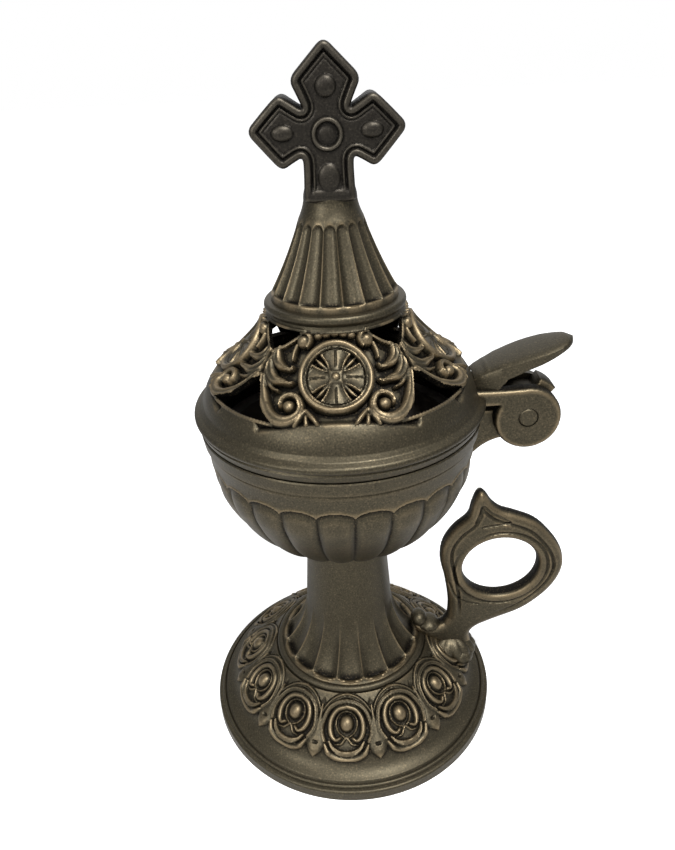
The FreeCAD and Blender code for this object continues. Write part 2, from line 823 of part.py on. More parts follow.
def lid_outside():
    """The lid's outer outline from its lip up to the top of the collar."""
    base = bowl_top()
    return [
        (s.lip_radius, base + s.lid_gap),
        (s.lid_bead_radius, base + s.lid_bead_height,
         s.lid_bead_top_radius, base + s.lid_bead_top_height),
        (s.shoulder_base_radius, base + s.shoulder_base_height),
        (s.shoulder_mid_radius, base + s.shoulder_mid_height,
         s.shoulder_top_radius, base + s.shoulder_top_height),
        (s.panel_mid_radius, base + s.panel_mid_height,
         s.collar_radius, base + s.collar_height),
        (s.collar_radius + s.collar_bead, (base + s.collar_height + base + s.lid_height) / 2,
         s.collar_radius, base + s.lid_height),
    ]


def lid_inside():
    """The lid's hollow from its lip up to the collar's plate."""
    base = bowl_top()
    inset = s.lid_wall * 0.7
    return [
        (s.bowl_rim_radius - s.rim_wall, base + s.lid_gap),
        (s.bowl_rim_radius - s.rim_wall, base + s.lid_bead_top_height - s.lid_wall),
        (s.shoulder_base_radius - s.lid_wall, base + s.shoulder_base_height),
        (s.shoulder_mid_radius - inset, base + s.shoulder_mid_height - inset,
         s.shoulder_top_radius - inset, base + s.shoulder_top_height - inset),
        (s.panel_mid_radius - inset, base + s.panel_mid_height - inset,
         s.collar_radius - s.lid_wall, base + s.lid_height - s.collar_plate),
    ]


def make_lid():
    body = new_body("lid")
    base = bowl_top()
    outside = lid_outside()
    revolve(body, "lid_solid",
            [(ZERO, base + s.lid_gap)] + outside + [(ZERO, base + s.lid_height)])
    make_hinge_arm(body)
    inside = lid_inside()
    revolve(body, "lid_hollow",
            [(ZERO, inside[-1][-1]), (ZERO, base + s.lid_gap)] + inside, cut=True)
    make_lever_seat(body)
    extrude(body, "spigot_hole", "XY_Plane", s.collar_plate * 3,
            circles=[((ZERO, ZERO), s.spigot_radius + s.spigot_slack)],
            cut=True, height=base + s.lid_height)
    make_lid_openings(body)
    make_medallions(body)
    return body


def make_hinge_arm(body):
    """Arm over the hinge, which ends in two round ears, one each side of the bowl's knuckle."""
    arm = [
        (s.shoulder_mid_radius, on_lid(s.arm_bottom)),
        (s.hinge_reach, on_lid(s.arm_bottom)),
        (s.hinge_reach, on_lid(s.arm_top) + s.lid_gap),
        (s.hinge_reach - s.ear_radius + s.arm_end_gap, on_lid(s.arm_top)),
        (s.shoulder_mid_radius, on_lid(s.arm_top)),
    ]
    extrude(body, "hinge_arm", "XZ_Plane", s.hinge_width, outlines=[(arm, None)])
    extrude(body, "hinge_ears", "XZ_Plane", s.hinge_width,
            circles=[((s.hinge_reach, hinge_centre()), s.ear_radius)])
    slot_left = s.hinge_reach - s.ear_radius - s.knuckle_gap
    slot_right = s.hinge_reach + s.ear_radius * 2
    slot = [
        (slot_left, hinge_centre() - s.ear_radius * 2),
        (slot_right, hinge_centre() - s.ear_radius * 2),
        (slot_right, hinge_centre() + s.ear_radius * 2),
        (slot_left, hinge_centre() + s.ear_radius * 2),
    ]
    extrude(body, "knuckle_slot", "XZ_Plane", s.hinge_width - s.ear_thickness * 2,
            outlines=[(slot, None)], cut=True)
    extrude(body, "ear_bores", "XZ_Plane", s.hinge_width * 2,
            circles=[((s.hinge_reach, hinge_centre()), s.pin_radius)], cut=True)


def make_lid_openings(body):
    """Openings between the panels, a wide one below and a small one above."""
    low = [
        (-s.low_opening_half_width, on_lid(s.low_opening_base_height)),
        (s.low_opening_half_width, on_lid(s.low_opening_base_height)),
        (s.low_opening_middle_half_width, on_lid(s.low_opening_middle_height),
         ZERO, on_lid(s.low_opening_tip_height)),
    ]
    low_closing = (-s.low_opening_middle_half_width, on_lid(s.low_opening_middle_height))
    high = [
        (-s.high_opening_half_width, on_lid(s.high_opening_top_height)),
        (s.high_opening_half_width, on_lid(s.high_opening_top_height)),
        (s.high_opening_middle_half_width, on_lid(s.high_opening_middle_height),
         ZERO, on_lid(s.high_opening_tip_height)),
    ]
    high_closing = (-s.high_opening_middle_half_width, on_lid(s.high_opening_middle_height))
    between_panels = s.panel_turn + FULL_TURN / 2 / s.panels
    cuts = [
        extrude(body, name, "XZ_Plane", s.foot_radius, outlines=[(steps, closing)],
                cut=True, both_ways=False, turn=between_panels)
        for name, steps, closing in (("low_opening", low, low_closing),
                                     ("high_opening", high, high_closing))
    ]
    around_axis(body, "openings", cuts, s.panels)


def make_medallions(body):
    """Round medallions, each a raised ring with a cross in it."""
    slope = tilt_outwards(s.shoulder_top_radius - s.panel_mid_radius,
                          s.panel_mid_height - s.shoulder_top_height)
    front_angle = s.panel_turn - FULL_TURN / 4
    front = FreeCAD.Rotation(FreeCAD.Vector(0, 0, 1), front_angle.value)
    turn = front.multiply(slope)
    along_slope = math.sqrt(0.5)
    sunk = s.lid_wall / 2 * along_slope
    disc_reach = s.medallion_reach - sunk
    disc = place_primitive(body, "AdditiveCylinder", "medallion_disc",
                           {"Radius": s.medallion_disc, "Height": s.medallion_rise + s.lid_wall / 2},
                           (disc_reach * cosine(front_angle), disc_reach * sine(front_angle),
                            on_lid(s.medallion_height) - sunk), turn)
    raised = s.medallion_rise * along_slope
    reach = s.medallion_reach + raised
    place = (reach * cosine(front_angle), reach * sine(front_angle),
             on_lid(s.medallion_height) + raised)
    ring = place_primitive(body, "AdditiveTorus", "medallion_ring",
                           {"Radius1": s.medallion_radius, "Radius2": s.medallion_wire}, place, turn)
    arms = body.newObject("Sketcher::SketchObject", "medallion_cross_outline")
    set_place(arms, (s.medallion_reach * cosine(front_angle), s.medallion_reach * sine(front_angle),
                     on_lid(s.medallion_height)), turn)
    draw_outline(arms, splayed_cross(s.medallion_arm, s.medallion_arm_end, s.medallion_arm_root))
    cross = body.newObject("PartDesign::Pad", "medallion_cross")
    cross.Profile = arms
    cross.setExpression("Length", (s.medallion_rise * 2).text)
    body.Tip = cross
    around_axis(body, "medallions", [disc, ring, cross], s.panels)


def splayed_cross(reach, end, root):
    """Corners of a cross whose four equal arms widen towards their ends."""
    corners = []
    for quarter_turns in range(4):
        for x, y in ((root, -root), (reach, -end), (reach, end)):
            for _ in range(quarter_turns):
                x, y = -y, x
            corners.append((x, y))
    return corners


def make_lever_seat(body):
    """Flat seat inside the dome for the lever's screw, and the hole through it."""
    place_primitive(body, "AdditiveCylinder", "lever_boss",
                    {"Radius": s.lever_boss_radius,
                     "Height": s.shoulder_mid_radius - s.lever_boss_seat},
                    (s.lever_boss_seat, ZERO, on_lid(s.lever_screw_height)), X_DIRECTION)
    place_primitive(body, "SubtractiveCylinder", "lever_hole",
                    {"Radius": s.lever_screw_radius + s.lever_screw_slack,
                     "Height": s.lever_head_radius * 4},
                    (s.lever_boss_seat - s.lever_head_height, ZERO, on_lid(s.lever_screw_height)),
                    X_DIRECTION)


# Thumb lever

def make_thumb_lever():
    body = new_body("thumb_lever")
    side = [
        (s.lever_root, on_lid(s.arm_top)),
        (s.lever_root_end, on_lid(s.arm_top)),
        (s.lever_root_end + s.lever_thickness, on_lid(s.lever_root_top)),
        ((s.lever_mid + s.lever_tip) / 2 - s.lever_thickness,
         (on_lid(s.lever_mid_height) + on_lid(s.lever_tip_height)) / 2 - s.lever_thickness * 1.5,
         s.lever_tip - s.lever_thickness / 2, on_lid(s.lever_tip_height) - s.lever_thickness / 2),
        (s.lever_tip, on_lid(s.lever_tip_height), s.lever_tip - s.lever_thickness / 2,
         on_lid(s.lever_tip_height) + s.lever_thickness / 5),
        (s.lever_mid, on_lid(s.lever_mid_height), s.lever_root + 2.5, on_lid(s.lever_root_top) + 0.2),
        (s.lever_root, on_lid(s.lever_root_top) - 1.4),
    ]
    extrude(body, "lever_side", "XZ_Plane", s.lever_half_width * 2, outlines=[(side, None)])
    frame_reach = s.lever_half_width * 2
    frame = [
        (s.lever_root - frame_reach, -frame_reach),
        (s.lever_tip + frame_reach, -frame_reach),
        (s.lever_tip + frame_reach, frame_reach),
        (s.lever_root - frame_reach, frame_reach),
    ]
    leaf = [
        (s.lever_root, -s.lever_root_half_width),
        (s.lever_root_end, -s.lever_half_width * 0.86, s.lever_widest, -s.lever_half_width),
        (s.lever_tip - s.lever_half_width * 0.45, -s.lever_half_width * 0.72, s.lever_tip, ZERO),
        (s.lever_tip - s.lever_half_width * 0.45, s.lever_half_width * 0.72,
         s.lever_widest, s.lever_half_width),
        (s.lever_root_end, s.lever_half_width * 0.86, s.lever_root, s.lever_root_half_width),
    ]
    extrude(body, "lever_leaf", "XY_Plane", s.foot_radius, outlines=[(frame, None), (leaf, None)],
            cut=True, height=on_lid(s.arm_top))
    trim_to(body, "lever_foot", lid_outside())
    place_primitive(body, "SubtractiveCylinder", "lever_thread",
                    {"Radius": s.lever_screw_radius, "Height": lever_screw_length()},
                    (s.lever_boss_seat, ZERO, on_lid(s.lever_screw_height)), X_DIRECTION)
    return body


def lever_screw_length():
    return s.shoulder_mid_radius + s.lever_screw_bite - s.lever_boss_seat


def make_lever_screw():
    body = new_body("lever_screw")
    place_primitive(body, "AdditiveCylinder", "lever_screw_head",
                    {"Radius": s.lever_head_radius, "Height": s.lever_head_height},
                    (s.lever_boss_seat - s.lever_head_height, ZERO, on_lid(s.lever_screw_height)),
                    X_DIRECTION)
    place_primitive(body, "AdditiveCylinder", "lever_screw_shank",
                    {"Radius": s.lever_screw_radius, "Height": lever_screw_length()},
                    (s.lever_boss_seat, ZERO, on_lid(s.lever_screw_height)), X_DIRECTION)
    return body


def make_hinge_pin():
    body = new_body("hinge_pin")
    extrude(body, "pin_solid", "XZ_Plane", s.hinge_width,
            circles=[((s.hinge_reach, hinge_centre()), s.pin_radius)])
    return body


# Spire, its screw and washer, and the cross

def make_spire():
    body = new_body("spire")
    seat = bowl_top() + s.lid_height
    waist_height = seat + s.spire_waist_height
    top = seat + s.spire_height
    revolve(body, "spire_solid", [
        (ZERO, seat - s.spigot_length),
        (s.spigot_radius, seat - s.spigot_length),
        (s.spigot_radius, seat),
        (s.spire_radius, seat),
        (s.spire_radius, seat + s.spire_foot_height / 2),
        (s.spire_radius - 0.4, seat + s.spire_foot_height),
        (s.spire_waist_radius, waist_height),
        ((s.spire_waist_radius + s.spire_neck_radius) / 2 - 0.3, (waist_height + top) / 2,
         s.spire_neck_radius, top),
        (ZERO, top),
    ])
    low = seat + s.spire_flute_foot + s.spire_flute_depth
    high = seat + s.spire_flute_top
    slope = (s.spire_radius - s.spire_waist_radius) / (s.spire_waist_height - s.spire_foot_height)
    low_radius = s.spire_radius - s.spire_flute_depth * 1.4
    high_radius = (s.spire_radius - (s.spire_flute_top - s.spire_foot_height) * slope
                   - s.spire_flute_depth * 0.6)
    angle = s.spire_flute_share * FULL_TURN / s.spire_flutes
    groove = revolve(body, "spire_flute", [
        (low_radius, low),
        (high_radius, high),
        (s.foot_radius, high),
        (s.foot_radius, low),
    ], angle=angle, cut=True)
    around_axis(body, "spire_flute_ring", groove, s.spire_flutes)
    place_primitive(body, "SubtractiveCylinder", "spire_thread",
                    {"Radius": s.spire_screw_radius, "Height": s.spigot_length + s.spire_screw_bite},
                    (ZERO, ZERO, seat - s.spigot_length))
    place_primitive(body, "SubtractiveCylinder", "peg_socket",
                    {"Radius": s.peg_radius, "Height": s.peg_length},
                    (ZERO, ZERO, top - s.peg_length))
    return body


def make_spire_screw():
    body = new_body("spire_screw")
    plate_bottom = bowl_top() + s.lid_height - s.collar_plate
    seat = plate_bottom - s.spire_washer_thickness
    top = bowl_top() + s.lid_height + s.spire_screw_bite - 1.0
    head_bottom = seat - s.spire_screw_head_height
    revolve(body, "spire_screw_solid", [
        (ZERO, top),
        (s.spire_screw_radius, top),
        (s.spire_screw_radius, seat),
        (s.spire_screw_head_radius, seat),
        (s.spire_screw_head_radius, seat - s.spire_screw_head_height / 2),
        (s.spire_screw_head_radius / 2, head_bottom),
        (ZERO, head_bottom),
    ])
    return body


def cross_arm(quarter_turns, centre, border):
    """Corners of one flared, pointed arm, in order, turned by quarter turns from +X."""
    flare = s.cross_flare - border
    crotch = s.cross_crotch - border / 2
    reach = s.cross_reach - border * 1.4
    flare_reach = s.cross_flare_reach - border / 4
    places = [
        (crotch, -crotch),
        (flare_reach, -flare),
        (reach - 0.5, -s.cross_tip),
        (reach, ZERO),
        (reach - 0.5, s.cross_tip),
        (flare_reach, flare),
    ]
    turned = []
    for x, z in places:
        for _ in range(quarter_turns):
            x, z = -z, x
        turned.append((x, centre + z))
    first, low, tip_start, tip, tip_end, high = turned
    return [first, low, tip_start, tip + tip_end, high]


def make_cross():
    body = new_body("cross")
    foot = bowl_top() + s.lid_height + s.spire_height
    centre = foot + s.cross_centre_height
    post_top = centre - s.post_top_drop
    steps = []
    for quarter_turns in (0, 1, 2):
        steps += cross_arm(quarter_turns, centre, ZERO)
    steps += [
        (-s.cross_crotch, centre - s.cross_crotch),
        (-s.post_top_half_width, post_top),
        (-s.post_foot_half_width, foot),
        (s.post_foot_half_width, foot),
        (s.post_top_half_width, post_top),
    ]
    extrude(body, "cross_plate", "XZ_Plane", s.cross_thickness, outlines=[(steps, None)])
    revolve(body, "post_foot", [
        (ZERO, foot),
        (s.spire_neck_radius, foot),
        (s.post_top_half_width * 0.9, (foot + post_top) / 2,
         s.cross_thickness * 0.55, post_top),
        (ZERO, post_top),
    ])
    recess = []
    for quarter_turns in (0, 1, 2):
        recess += cross_arm(quarter_turns, centre, s.cross_border)
    recess += [
        (s.cross_border / 2 - s.cross_crotch, centre - s.cross_crotch + s.cross_border / 2),
        (s.cross_border - s.post_top_half_width, post_top),
        (s.post_top_half_width - s.cross_border, post_top),
    ]
    for side, reverse in (("front", False), ("back", True)):
        face = new_sketch(body, side + "_recess_outline", "XZ_Plane")
        offset = s.cross_thickness / 2 if side == "front" else -s.cross_thickness / 2
        face.setExpression("AttachmentOffset.Base.z", offset.text)
        draw_outline(face, recess)
        pocket = body.newObject("PartDesign::Pocket", side + "_recess")
        pocket.Profile = face
        pocket.Reversed = reverse
        pocket.setExpression("Length", s.cross_recess.text)
        body.Tip = pocket
    extrude(body, "cross_boss", "XZ_Plane", s.cross_thickness,
            circles=[((ZERO, centre), s.cross_boss_radius)])
    place_primitive(body, "AdditiveCylinder", "peg",
                    {"Radius": s.peg_radius, "Height": s.peg_length},
                    (ZERO, ZERO, foot - s.peg_length))
    return body


def make_all():
    web_bottom = s.stem_height - s.web_thickness
    plate_bottom = bowl_top() + s.lid_height - s.collar_plate
    return [
        make_foot(),
        make_ring_handle(),
        make_handle_screws(),
        make_bowl(),
        make_charcoal_cup(),
        make_stem_screw(),
        washer("stem_washer", web_bottom - s.stem_washer_thickness, s.stem_washer_thickness,
               s.stem_washer_radius, s.stem_screw_radius + s.stem_screw_slack),
        make_stem_nut(),
        make_lid(),
        make_thumb_lever(),
        make_lever_screw(),
        make_hinge_pin(),
        make_spire(),
        make_spire_screw(),
        washer("spire_washer", plate_bottom - s.spire_washer_thickness, s.spire_washer_thickness,
               s.spire_washer_radius, s.spire_screw_radius + s.spigot_slack),
        make_cross(),
    ]


def check_and_write(bodies):
    doc.recompute()
    failed = [item.Name for item in doc.Objects
              if "Invalid" in item.State or "Error" in item.State]
    if failed:
        raise RuntimeError("These did not build: " + ", ".join(failed))
    for body in bodies:
        if body.Shape.isNull() or not body.Shape.isValid():
            raise RuntimeError("Bad shape: " + body.Label)
    os.makedirs("parts", exist_ok=True)
    for body in bodies:
        body.Shape.exportStep("parts/%s.step" % body.Label)
        box = body.Shape.BoundBox
        print("%-14s %2d solid(s) %9.1f mm3  x %.1f..%.1f  z %.1f..%.1f" % (
            body.Label, len(body.Shape.Solids), body.Shape.Volume,
            box.XMin, box.XMax, box.ZMin, box.ZMax))


check_and_write(make_all())
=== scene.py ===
import math

import bpy
import numpy as np
from mathutils import Matrix, Vector


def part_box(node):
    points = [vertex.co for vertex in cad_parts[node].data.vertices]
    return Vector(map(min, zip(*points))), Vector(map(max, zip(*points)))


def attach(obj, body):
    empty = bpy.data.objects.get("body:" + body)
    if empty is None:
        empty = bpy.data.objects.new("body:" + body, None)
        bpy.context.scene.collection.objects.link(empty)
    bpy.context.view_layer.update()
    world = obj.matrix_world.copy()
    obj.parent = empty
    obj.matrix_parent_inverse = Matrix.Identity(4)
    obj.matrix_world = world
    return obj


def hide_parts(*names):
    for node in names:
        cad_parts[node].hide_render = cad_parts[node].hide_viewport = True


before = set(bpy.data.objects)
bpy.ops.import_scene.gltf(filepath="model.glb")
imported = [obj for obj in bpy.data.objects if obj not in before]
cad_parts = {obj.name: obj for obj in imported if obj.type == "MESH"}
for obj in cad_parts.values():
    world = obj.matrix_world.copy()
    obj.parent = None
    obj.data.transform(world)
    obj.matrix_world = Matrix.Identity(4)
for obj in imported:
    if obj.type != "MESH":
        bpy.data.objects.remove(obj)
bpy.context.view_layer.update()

# Lengths in this script are millimetres until a mesh is made, which turns them into metres.
MM = 0.001
TURN = 2 * math.pi


def node_box(node):
    """Lowest and highest corner of a piece of the frame, in millimetres."""
    low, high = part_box(node)
    return np.array(low) / MM, np.array(high) / MM


FOOT_RADIUS, _, STEM_TOP = node_box("foot")[1]
LID_TOP = node_box("lid")[1][2]
SPIRE_LOW, SPIRE_HIGH = node_box("spire")
SPIRE_TOP = SPIRE_HIGH[2]
CROSS_HALF_THICKNESS = node_box("cross")[1][1]
LEVER_LOW, LEVER_HIGH = node_box("thumb_lever")
PIN_LOW, PIN_HIGH = node_box("hinge_pin")
HINGE = (PIN_LOW + PIN_HIGH) / 2
PIN_RADIUS = (PIN_HIGH[0] - PIN_LOW[0]) / 2
HINGE_HALF_WIDTH = PIN_HIGH[1]
RIM_ABOVE_HINGE = 1.5
RIM = HINGE[2] + RIM_ABOVE_HINGE


# Small tools for outlines and carved relief

def smooth(low, high, value):
    """0 below low, 1 above high, and an even rise between them."""
    share = np.clip((value - low) / (high - low), 0.0, 1.0)
    return share * share * (3 - 2 * share)


def bead(distance, half_width, height):
    """Rounded ridge along the line where the distance is nought."""
    share = np.clip(1 - (distance / half_width) ** 2, 0.0, 1.0)
    return height * share ** 0.6


def rounding(share):
    """How far a quarter round falls back, from 0 at its start to 1 at its end."""
    return 1 - np.sqrt(np.clip(1 - share ** 2, 0, 1))


def ball(u, v, place, half_width, half_height, height):
    """Rounded boss, an ellipse in plan."""
    share = ((u - place[0]) / half_width) ** 2 + ((v - place[1]) / half_height) ** 2
    return height * np.sqrt(np.clip(1 - share, 0.0, 1.0))


def curve_through(points, steps=6):
    """Points on a smooth curve through the given ones."""
    points = np.array(points, float)
    padded = np.vstack([2 * points[0] - points[1], points, 2 * points[-1] - points[-2]])
    made = []
    for before, start, end, after in zip(padded, padded[1:], padded[2:], padded[3:]):
        for t in np.arange(steps) / steps:
            made.append(0.5 * (2 * start + (end - before) * t
                               + (2 * before - 5 * start + 4 * end - after) * t ** 2
                               + (3 * start - before - 3 * end + after) * t ** 3))
    made.append(points[-1])
    return np.array(made)


def ribbon(u, v, path, widths, height, groove=0.0):
    """Rounded band along a path, of half widths that run evenly from the path's start to its
    end, with a groove along its middle if asked."""
    path = np.array(path, float)
    spans = np.linalg.norm(np.diff(path, axis=0), axis=1)
    along = np.concatenate([[0.0], np.cumsum(spans)]) / spans.sum()
    half_widths = np.interp(along, np.linspace(0, 1, len(widths)), widths)
    nearest = np.full(np.shape(u), 9.0)
    for start, end, first, last in zip(path, path[1:], half_widths, half_widths[1:]):
        step = end - start
        share = ((u - start[0]) * step[0] + (v - start[1]) * step[1]) / max(step @ step, 1e-9)
        share = np.clip(share, 0.0, 1.0)
        gap = np.hypot(u - start[0] - share * step[0], v - start[1] - share * step[1])
        nearest = np.minimum(nearest, gap / (first + (last - first) * share))
    made = bead(nearest, 1.0, height)
    if groove:
        made = made - bead(nearest, 0.35, groove)
    return made


def ribbon_box(points, margin):
    """Lowest and highest corner of a path, with a margin."""
    points = np.array(points, float)
    return points.min(axis=0) - margin, points.max(axis=0) + margin


def raised(relief, shape, lowered=0.0):
    """Relief with a raised shape on it, which may start lower than the face."""
    return np.where(shape > 0.01, np.maximum(relief, shape - lowered), relief)


def carve(relief, u, v, path, widths, height, groove=0.0):
    """Raise a relief to a ribbon where the ribbon stands higher."""
    low, high = ribbon_box(path, max(widths) + 0.1)
    near = (u > low[0]) & (u < high[0]) & (v > low[1]) & (v < high[1])
    relief[near] = raised(relief[near], ribbon(u[near], v[near], path, widths, height, groove))


def blurred(values, reach, wrap):
    """Box blur of a grid, which joins round in its second direction if asked."""
    for axis in (0, 1):
        mode = "wrap" if wrap and axis == 1 else "edge"
        size = [(0, 0), (0, 0)]
        size[axis] = (reach + 1, reach)
        total = np.cumsum(np.pad(values, size, mode=mode), axis=axis)
        upper = np.take(total, np.arange(2 * reach + 1, total.shape[axis]), axis=axis)
        lower = np.take(total, np.arange(0, total.shape[axis] - 2 * reach - 1), axis=axis)
        values = (upper - lower) / (2 * reach + 1)
    return values


def hollowness(relief, reach, full, wrap=True):
    """How deep each point lies below its surroundings, from 0 to 1."""
    return np.clip(0.5 + (blurred(relief, reach, wrap) - relief) / (2 * full), 0.0, 1.0)


def above(base, steps):
    """Steps of an outline whose heights are given above a base."""
    return [tuple(value + base * (i % 2) for i, value in enumerate(step)) for step in steps]


def outline(steps, spacing):
    """Points along an outline. A step (r, z) is a straight run to that point, and (mr, mz, r, z)
    an arc through the middle point."""
    points = [np.array(steps[0], float)]
    for step in steps[1:]:
        start, end = points[-1], np.array(step[-2:], float)
        if len(step) == 2:
            count = max(1, math.ceil(np.linalg.norm(end - start) / spacing))
            for i in range(1, count + 1):
                points.append(start + (end - start) * i / count)
            continue
        middle = np.array(step[:2], float)
        centre = circle_centre(start, middle, end)
        radius = np.linalg.norm(start - centre)
        first, through, last = (math.atan2(p[1] - centre[1], p[0] - centre[0])
                                for p in (start, middle, end))
        sweep = (last - first) % TURN
        if (through - first) % TURN > sweep:
            sweep -= TURN
        count = max(2, math.ceil(abs(sweep) * radius / spacing))
        for i in range(1, count + 1):
            angle = first + sweep * i / count
            points.append(centre + radius * np.array([math.cos(angle), math.sin(angle)]))
    return np.array(points)


def circle_centre(a, b, c):
    """Centre of the circle through three points."""
    matrix = np.array([b - a, c - a])
    return np.linalg.solve(matrix, [(b @ b - a @ a) / 2, (c @ c - a @ a) / 2])


# Meshes

def make_piece(name, parts, body, replaced, slot="cast_bronze", sharp=40.0):
    """A piece of the object from points in millimetres, faces and cavity values."""
    points, faces, cavity = parts
    points = np.asarray(points, float)
    faces = [np.asarray(f) for f in faces if len(f)]
    volume = 0.0
    for group in faces:
        corners = [points[group[:, i]] for i in range(group.shape[1])]
        for i in range(1, group.shape[1] - 1):
            volume += np.einsum("ij,ij->", corners[0], np.cross(corners[i], corners[i + 1]))
    if volume < 0:
        faces = [group[:, ::-1] for group in faces]
    mesh = bpy.data.meshes.new(name)
    mesh.from_pydata((points * MM).tolist(), [], [f for group in faces for f in group.tolist()])
    mesh.validate()
    mesh.polygons.foreach_set("use_smooth", np.ones(len(mesh.polygons), bool))
    mesh.set_sharp_from_angle(angle=math.radians(sharp))
    attribute = mesh.attributes.new("cavity", "FLOAT", "POINT")
    values = np.full(len(points), 0.5) if cavity is None else np.asarray(cavity).ravel()
    attribute.data.foreach_set("value", values.astype(np.float32))
    mesh.materials.append(FINISHES[slot])
    piece = bpy.data.objects.new(name, mesh)
    bpy.context.scene.collection.objects.link(piece)
    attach(piece, body)
    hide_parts(replaced)


def joined(*parts):
    """One set of points, faces and cavity values from several."""
    points, faces, cavity, start = [], [], [], 0
    for part_points, part_faces, part_cavity in parts:
        points.append(part_points)
        faces += [np.asarray(f) + start for f in part_faces if len(f)]
        cavity.append(np.full(len(part_points), 0.5) if part_cavity is None
                      else np.asarray(part_cavity).ravel())
        start += len(part_points)
    return np.vstack(points), faces, np.concatenate(cavity)


def turned(profile, columns, relief=None, closed=True):
    """Points on a surface turned round the Z axis, rows along the profile and columns round it,
    with the relief, one row for each point of the profile, pushed out along its normal."""
    before = np.roll(profile, 1, axis=0) if closed else np.vstack([profile[:1], profile[:-1]])
    after = np.roll(profile, -1, axis=0) if closed else np.vstack([profile[1:], profile[-1:]])
    tangent = after - before
    tangent /= np.maximum(np.linalg.norm(tangent, axis=1), 1e-9)[:, None]
    if relief is None:
        relief = np.zeros((len(profile), columns))
    radius = profile[:, :1] + relief * tangent[:, 1:]
    height = profile[:, 1:] - relief * tangent[:, :1]
    angle = np.arange(columns) * TURN / columns
    return np.stack([radius * np.cos(angle), radius * np.sin(angle),
                     height + 0 * angle], axis=-1)


def ring_faces(rows, columns, closed):
    """Quads of a grid that joins round, and whose last row meets the first if it is closed."""
    row, column = np.meshgrid(np.arange(rows if closed else rows - 1), np.arange(columns),
                              indexing="ij")
    after_row, after_column = (row + 1) % rows, (column + 1) % columns
    return np.stack([row * columns + column, row * columns + after_column,
                     after_row * columns + after_column, after_row * columns + column],
                    axis=-1).reshape(-1, 4)


def end_fans(rows, columns):
    """Fans that close a grid's first and last row with the two points that follow the grid."""
    here = np.arange(columns)
    after = (here + 1) % columns
    first, last = np.full(columns, rows * columns), np.full(columns, rows * columns + 1)
    top = (rows - 1) * columns
    return np.vstack([np.stack([first, after, here], axis=-1),
                      np.stack([last, top + here, top + after], axis=-1)])


def lathe(profile, columns, relief=None, cavity=None):
    """Closed turned solid. Where the profile starts and ends on the axis, the ends are fans."""
    if profile[0][0] > 1e-6:
        points = turned(profile, columns, relief).reshape(-1, 3)
        return points, [ring_faces(len(profile), columns, True)], cavity
    points = turned(profile, columns, relief, closed=False)[1:-1].reshape(-1, 3)
    rows = len(profile) - 2
    ends = np.array([[0, 0, profile[0][1]], [0, 0, profile[-1][1]]])
    if cavity is not None:
        cavity = np.concatenate([np.asarray(cavity)[1:-1].ravel(), [0.5, 0.5]])
    faces = [ring_faces(rows, columns, False), end_fans(rows, columns)]
    return np.vstack([points, ends]), faces, cavity


def cut_grid(first, second, depth):
    """A grid of cells that keeps those inside a shape. depth(u, v) is the distance inside its
    outline. The points on the cut's edge are drawn onto the outline."""
    u, v = np.meshgrid(first, second, indexing="ij")
    middle_u = (u[:-1, :-1] + u[1:, 1:]) / 2
    middle_v = (v[:-1, :-1] + v[1:, 1:]) / 2
    kept = depth(middle_u, middle_v) > 0
    padded = np.pad(kept, 1, mode="edge").astype(int)
    touching = padded[:-1, :-1] + padded[1:, :-1] + padded[:-1, 1:] + padded[1:, 1:]
    edge = (touching > 0) & (touching < 4)
    edge_u, edge_v = u[edge], v[edge]
    step = 0.01
    for _ in range(4):
        here = depth(edge_u, edge_v)
        slope_u = (depth(edge_u + step, edge_v) - depth(edge_u - step, edge_v)) / (2 * step)
        slope_v = (depth(edge_u, edge_v + step) - depth(edge_u, edge_v - step)) / (2 * step)
        steepness = np.maximum(slope_u ** 2 + slope_v ** 2, 0.2)
        edge_u = edge_u - here * slope_u / steepness
        edge_v = edge_v - here * slope_v / steepness
    u[edge], v[edge] = edge_u, edge_v
    return u, v, kept, touching > 0


def cell_quads(kept, columns):
    """Corners of each kept cell."""
    row, column = np.nonzero(kept)
    corner = row * columns + column
    return np.stack([corner, corner + columns, corner + columns + 1, corner + 1], axis=-1)


def cell_edges(kept, columns):
    """Edges between a kept cell and a dropped one, in the direction of the kept cell's corners."""
    padded = np.pad(kept, 1, mode="edge")
    above, below = padded[:-2, 1:-1], padded[2:, 1:-1]
    left, right = padded[1:-1, :-2], padded[1:-1, 2:]
    edges = []
    for beside, start, end in ((above, 1, 0), (below, columns, columns + 1),
                               (left, 0, columns), (right, columns + 1, 1)):
        row, column = np.nonzero(kept & ~beside)
        corner = row * columns + column
        edges.append(np.stack([corner + start, corner + end], axis=-1))
    return np.vstack(edges)


def plate(depth, low, high, spacing, face, back=None, middle=0.0):
    """Flat casting in the XZ plane. depth(x, z) is the distance inside its outline, and
    face(x, z) and back(x, z) say how far its sides stand from its middle plane."""
    back = back or face
    x, z, kept, used = cut_grid(np.arange(low[0], high[0] + spacing, spacing),
                                np.arange(low[1], high[1] + spacing, spacing), depth)
    front, behind = face(x, z), back(x, z)
    points = np.vstack([np.stack([x, middle - front, z], axis=-1).reshape(-1, 3),
                        np.stack([x, middle + behind, z], axis=-1).reshape(-1, 3)])
    quads, edges = cell_quads(kept, x.shape[1]), cell_edges(kept, x.shape[1])
    walls = np.stack([edges[:, 1], edges[:, 0], edges[:, 0] + x.size, edges[:, 1] + x.size],
                     axis=-1)
    faces = np.vstack([quads, quads[:, ::-1] + x.size, walls])
    cavity = np.where(used, hollowness(front, 4, 0.5, wrap=False), 0.5).ravel()
    return compacted(points, [faces], np.concatenate([cavity, cavity]))


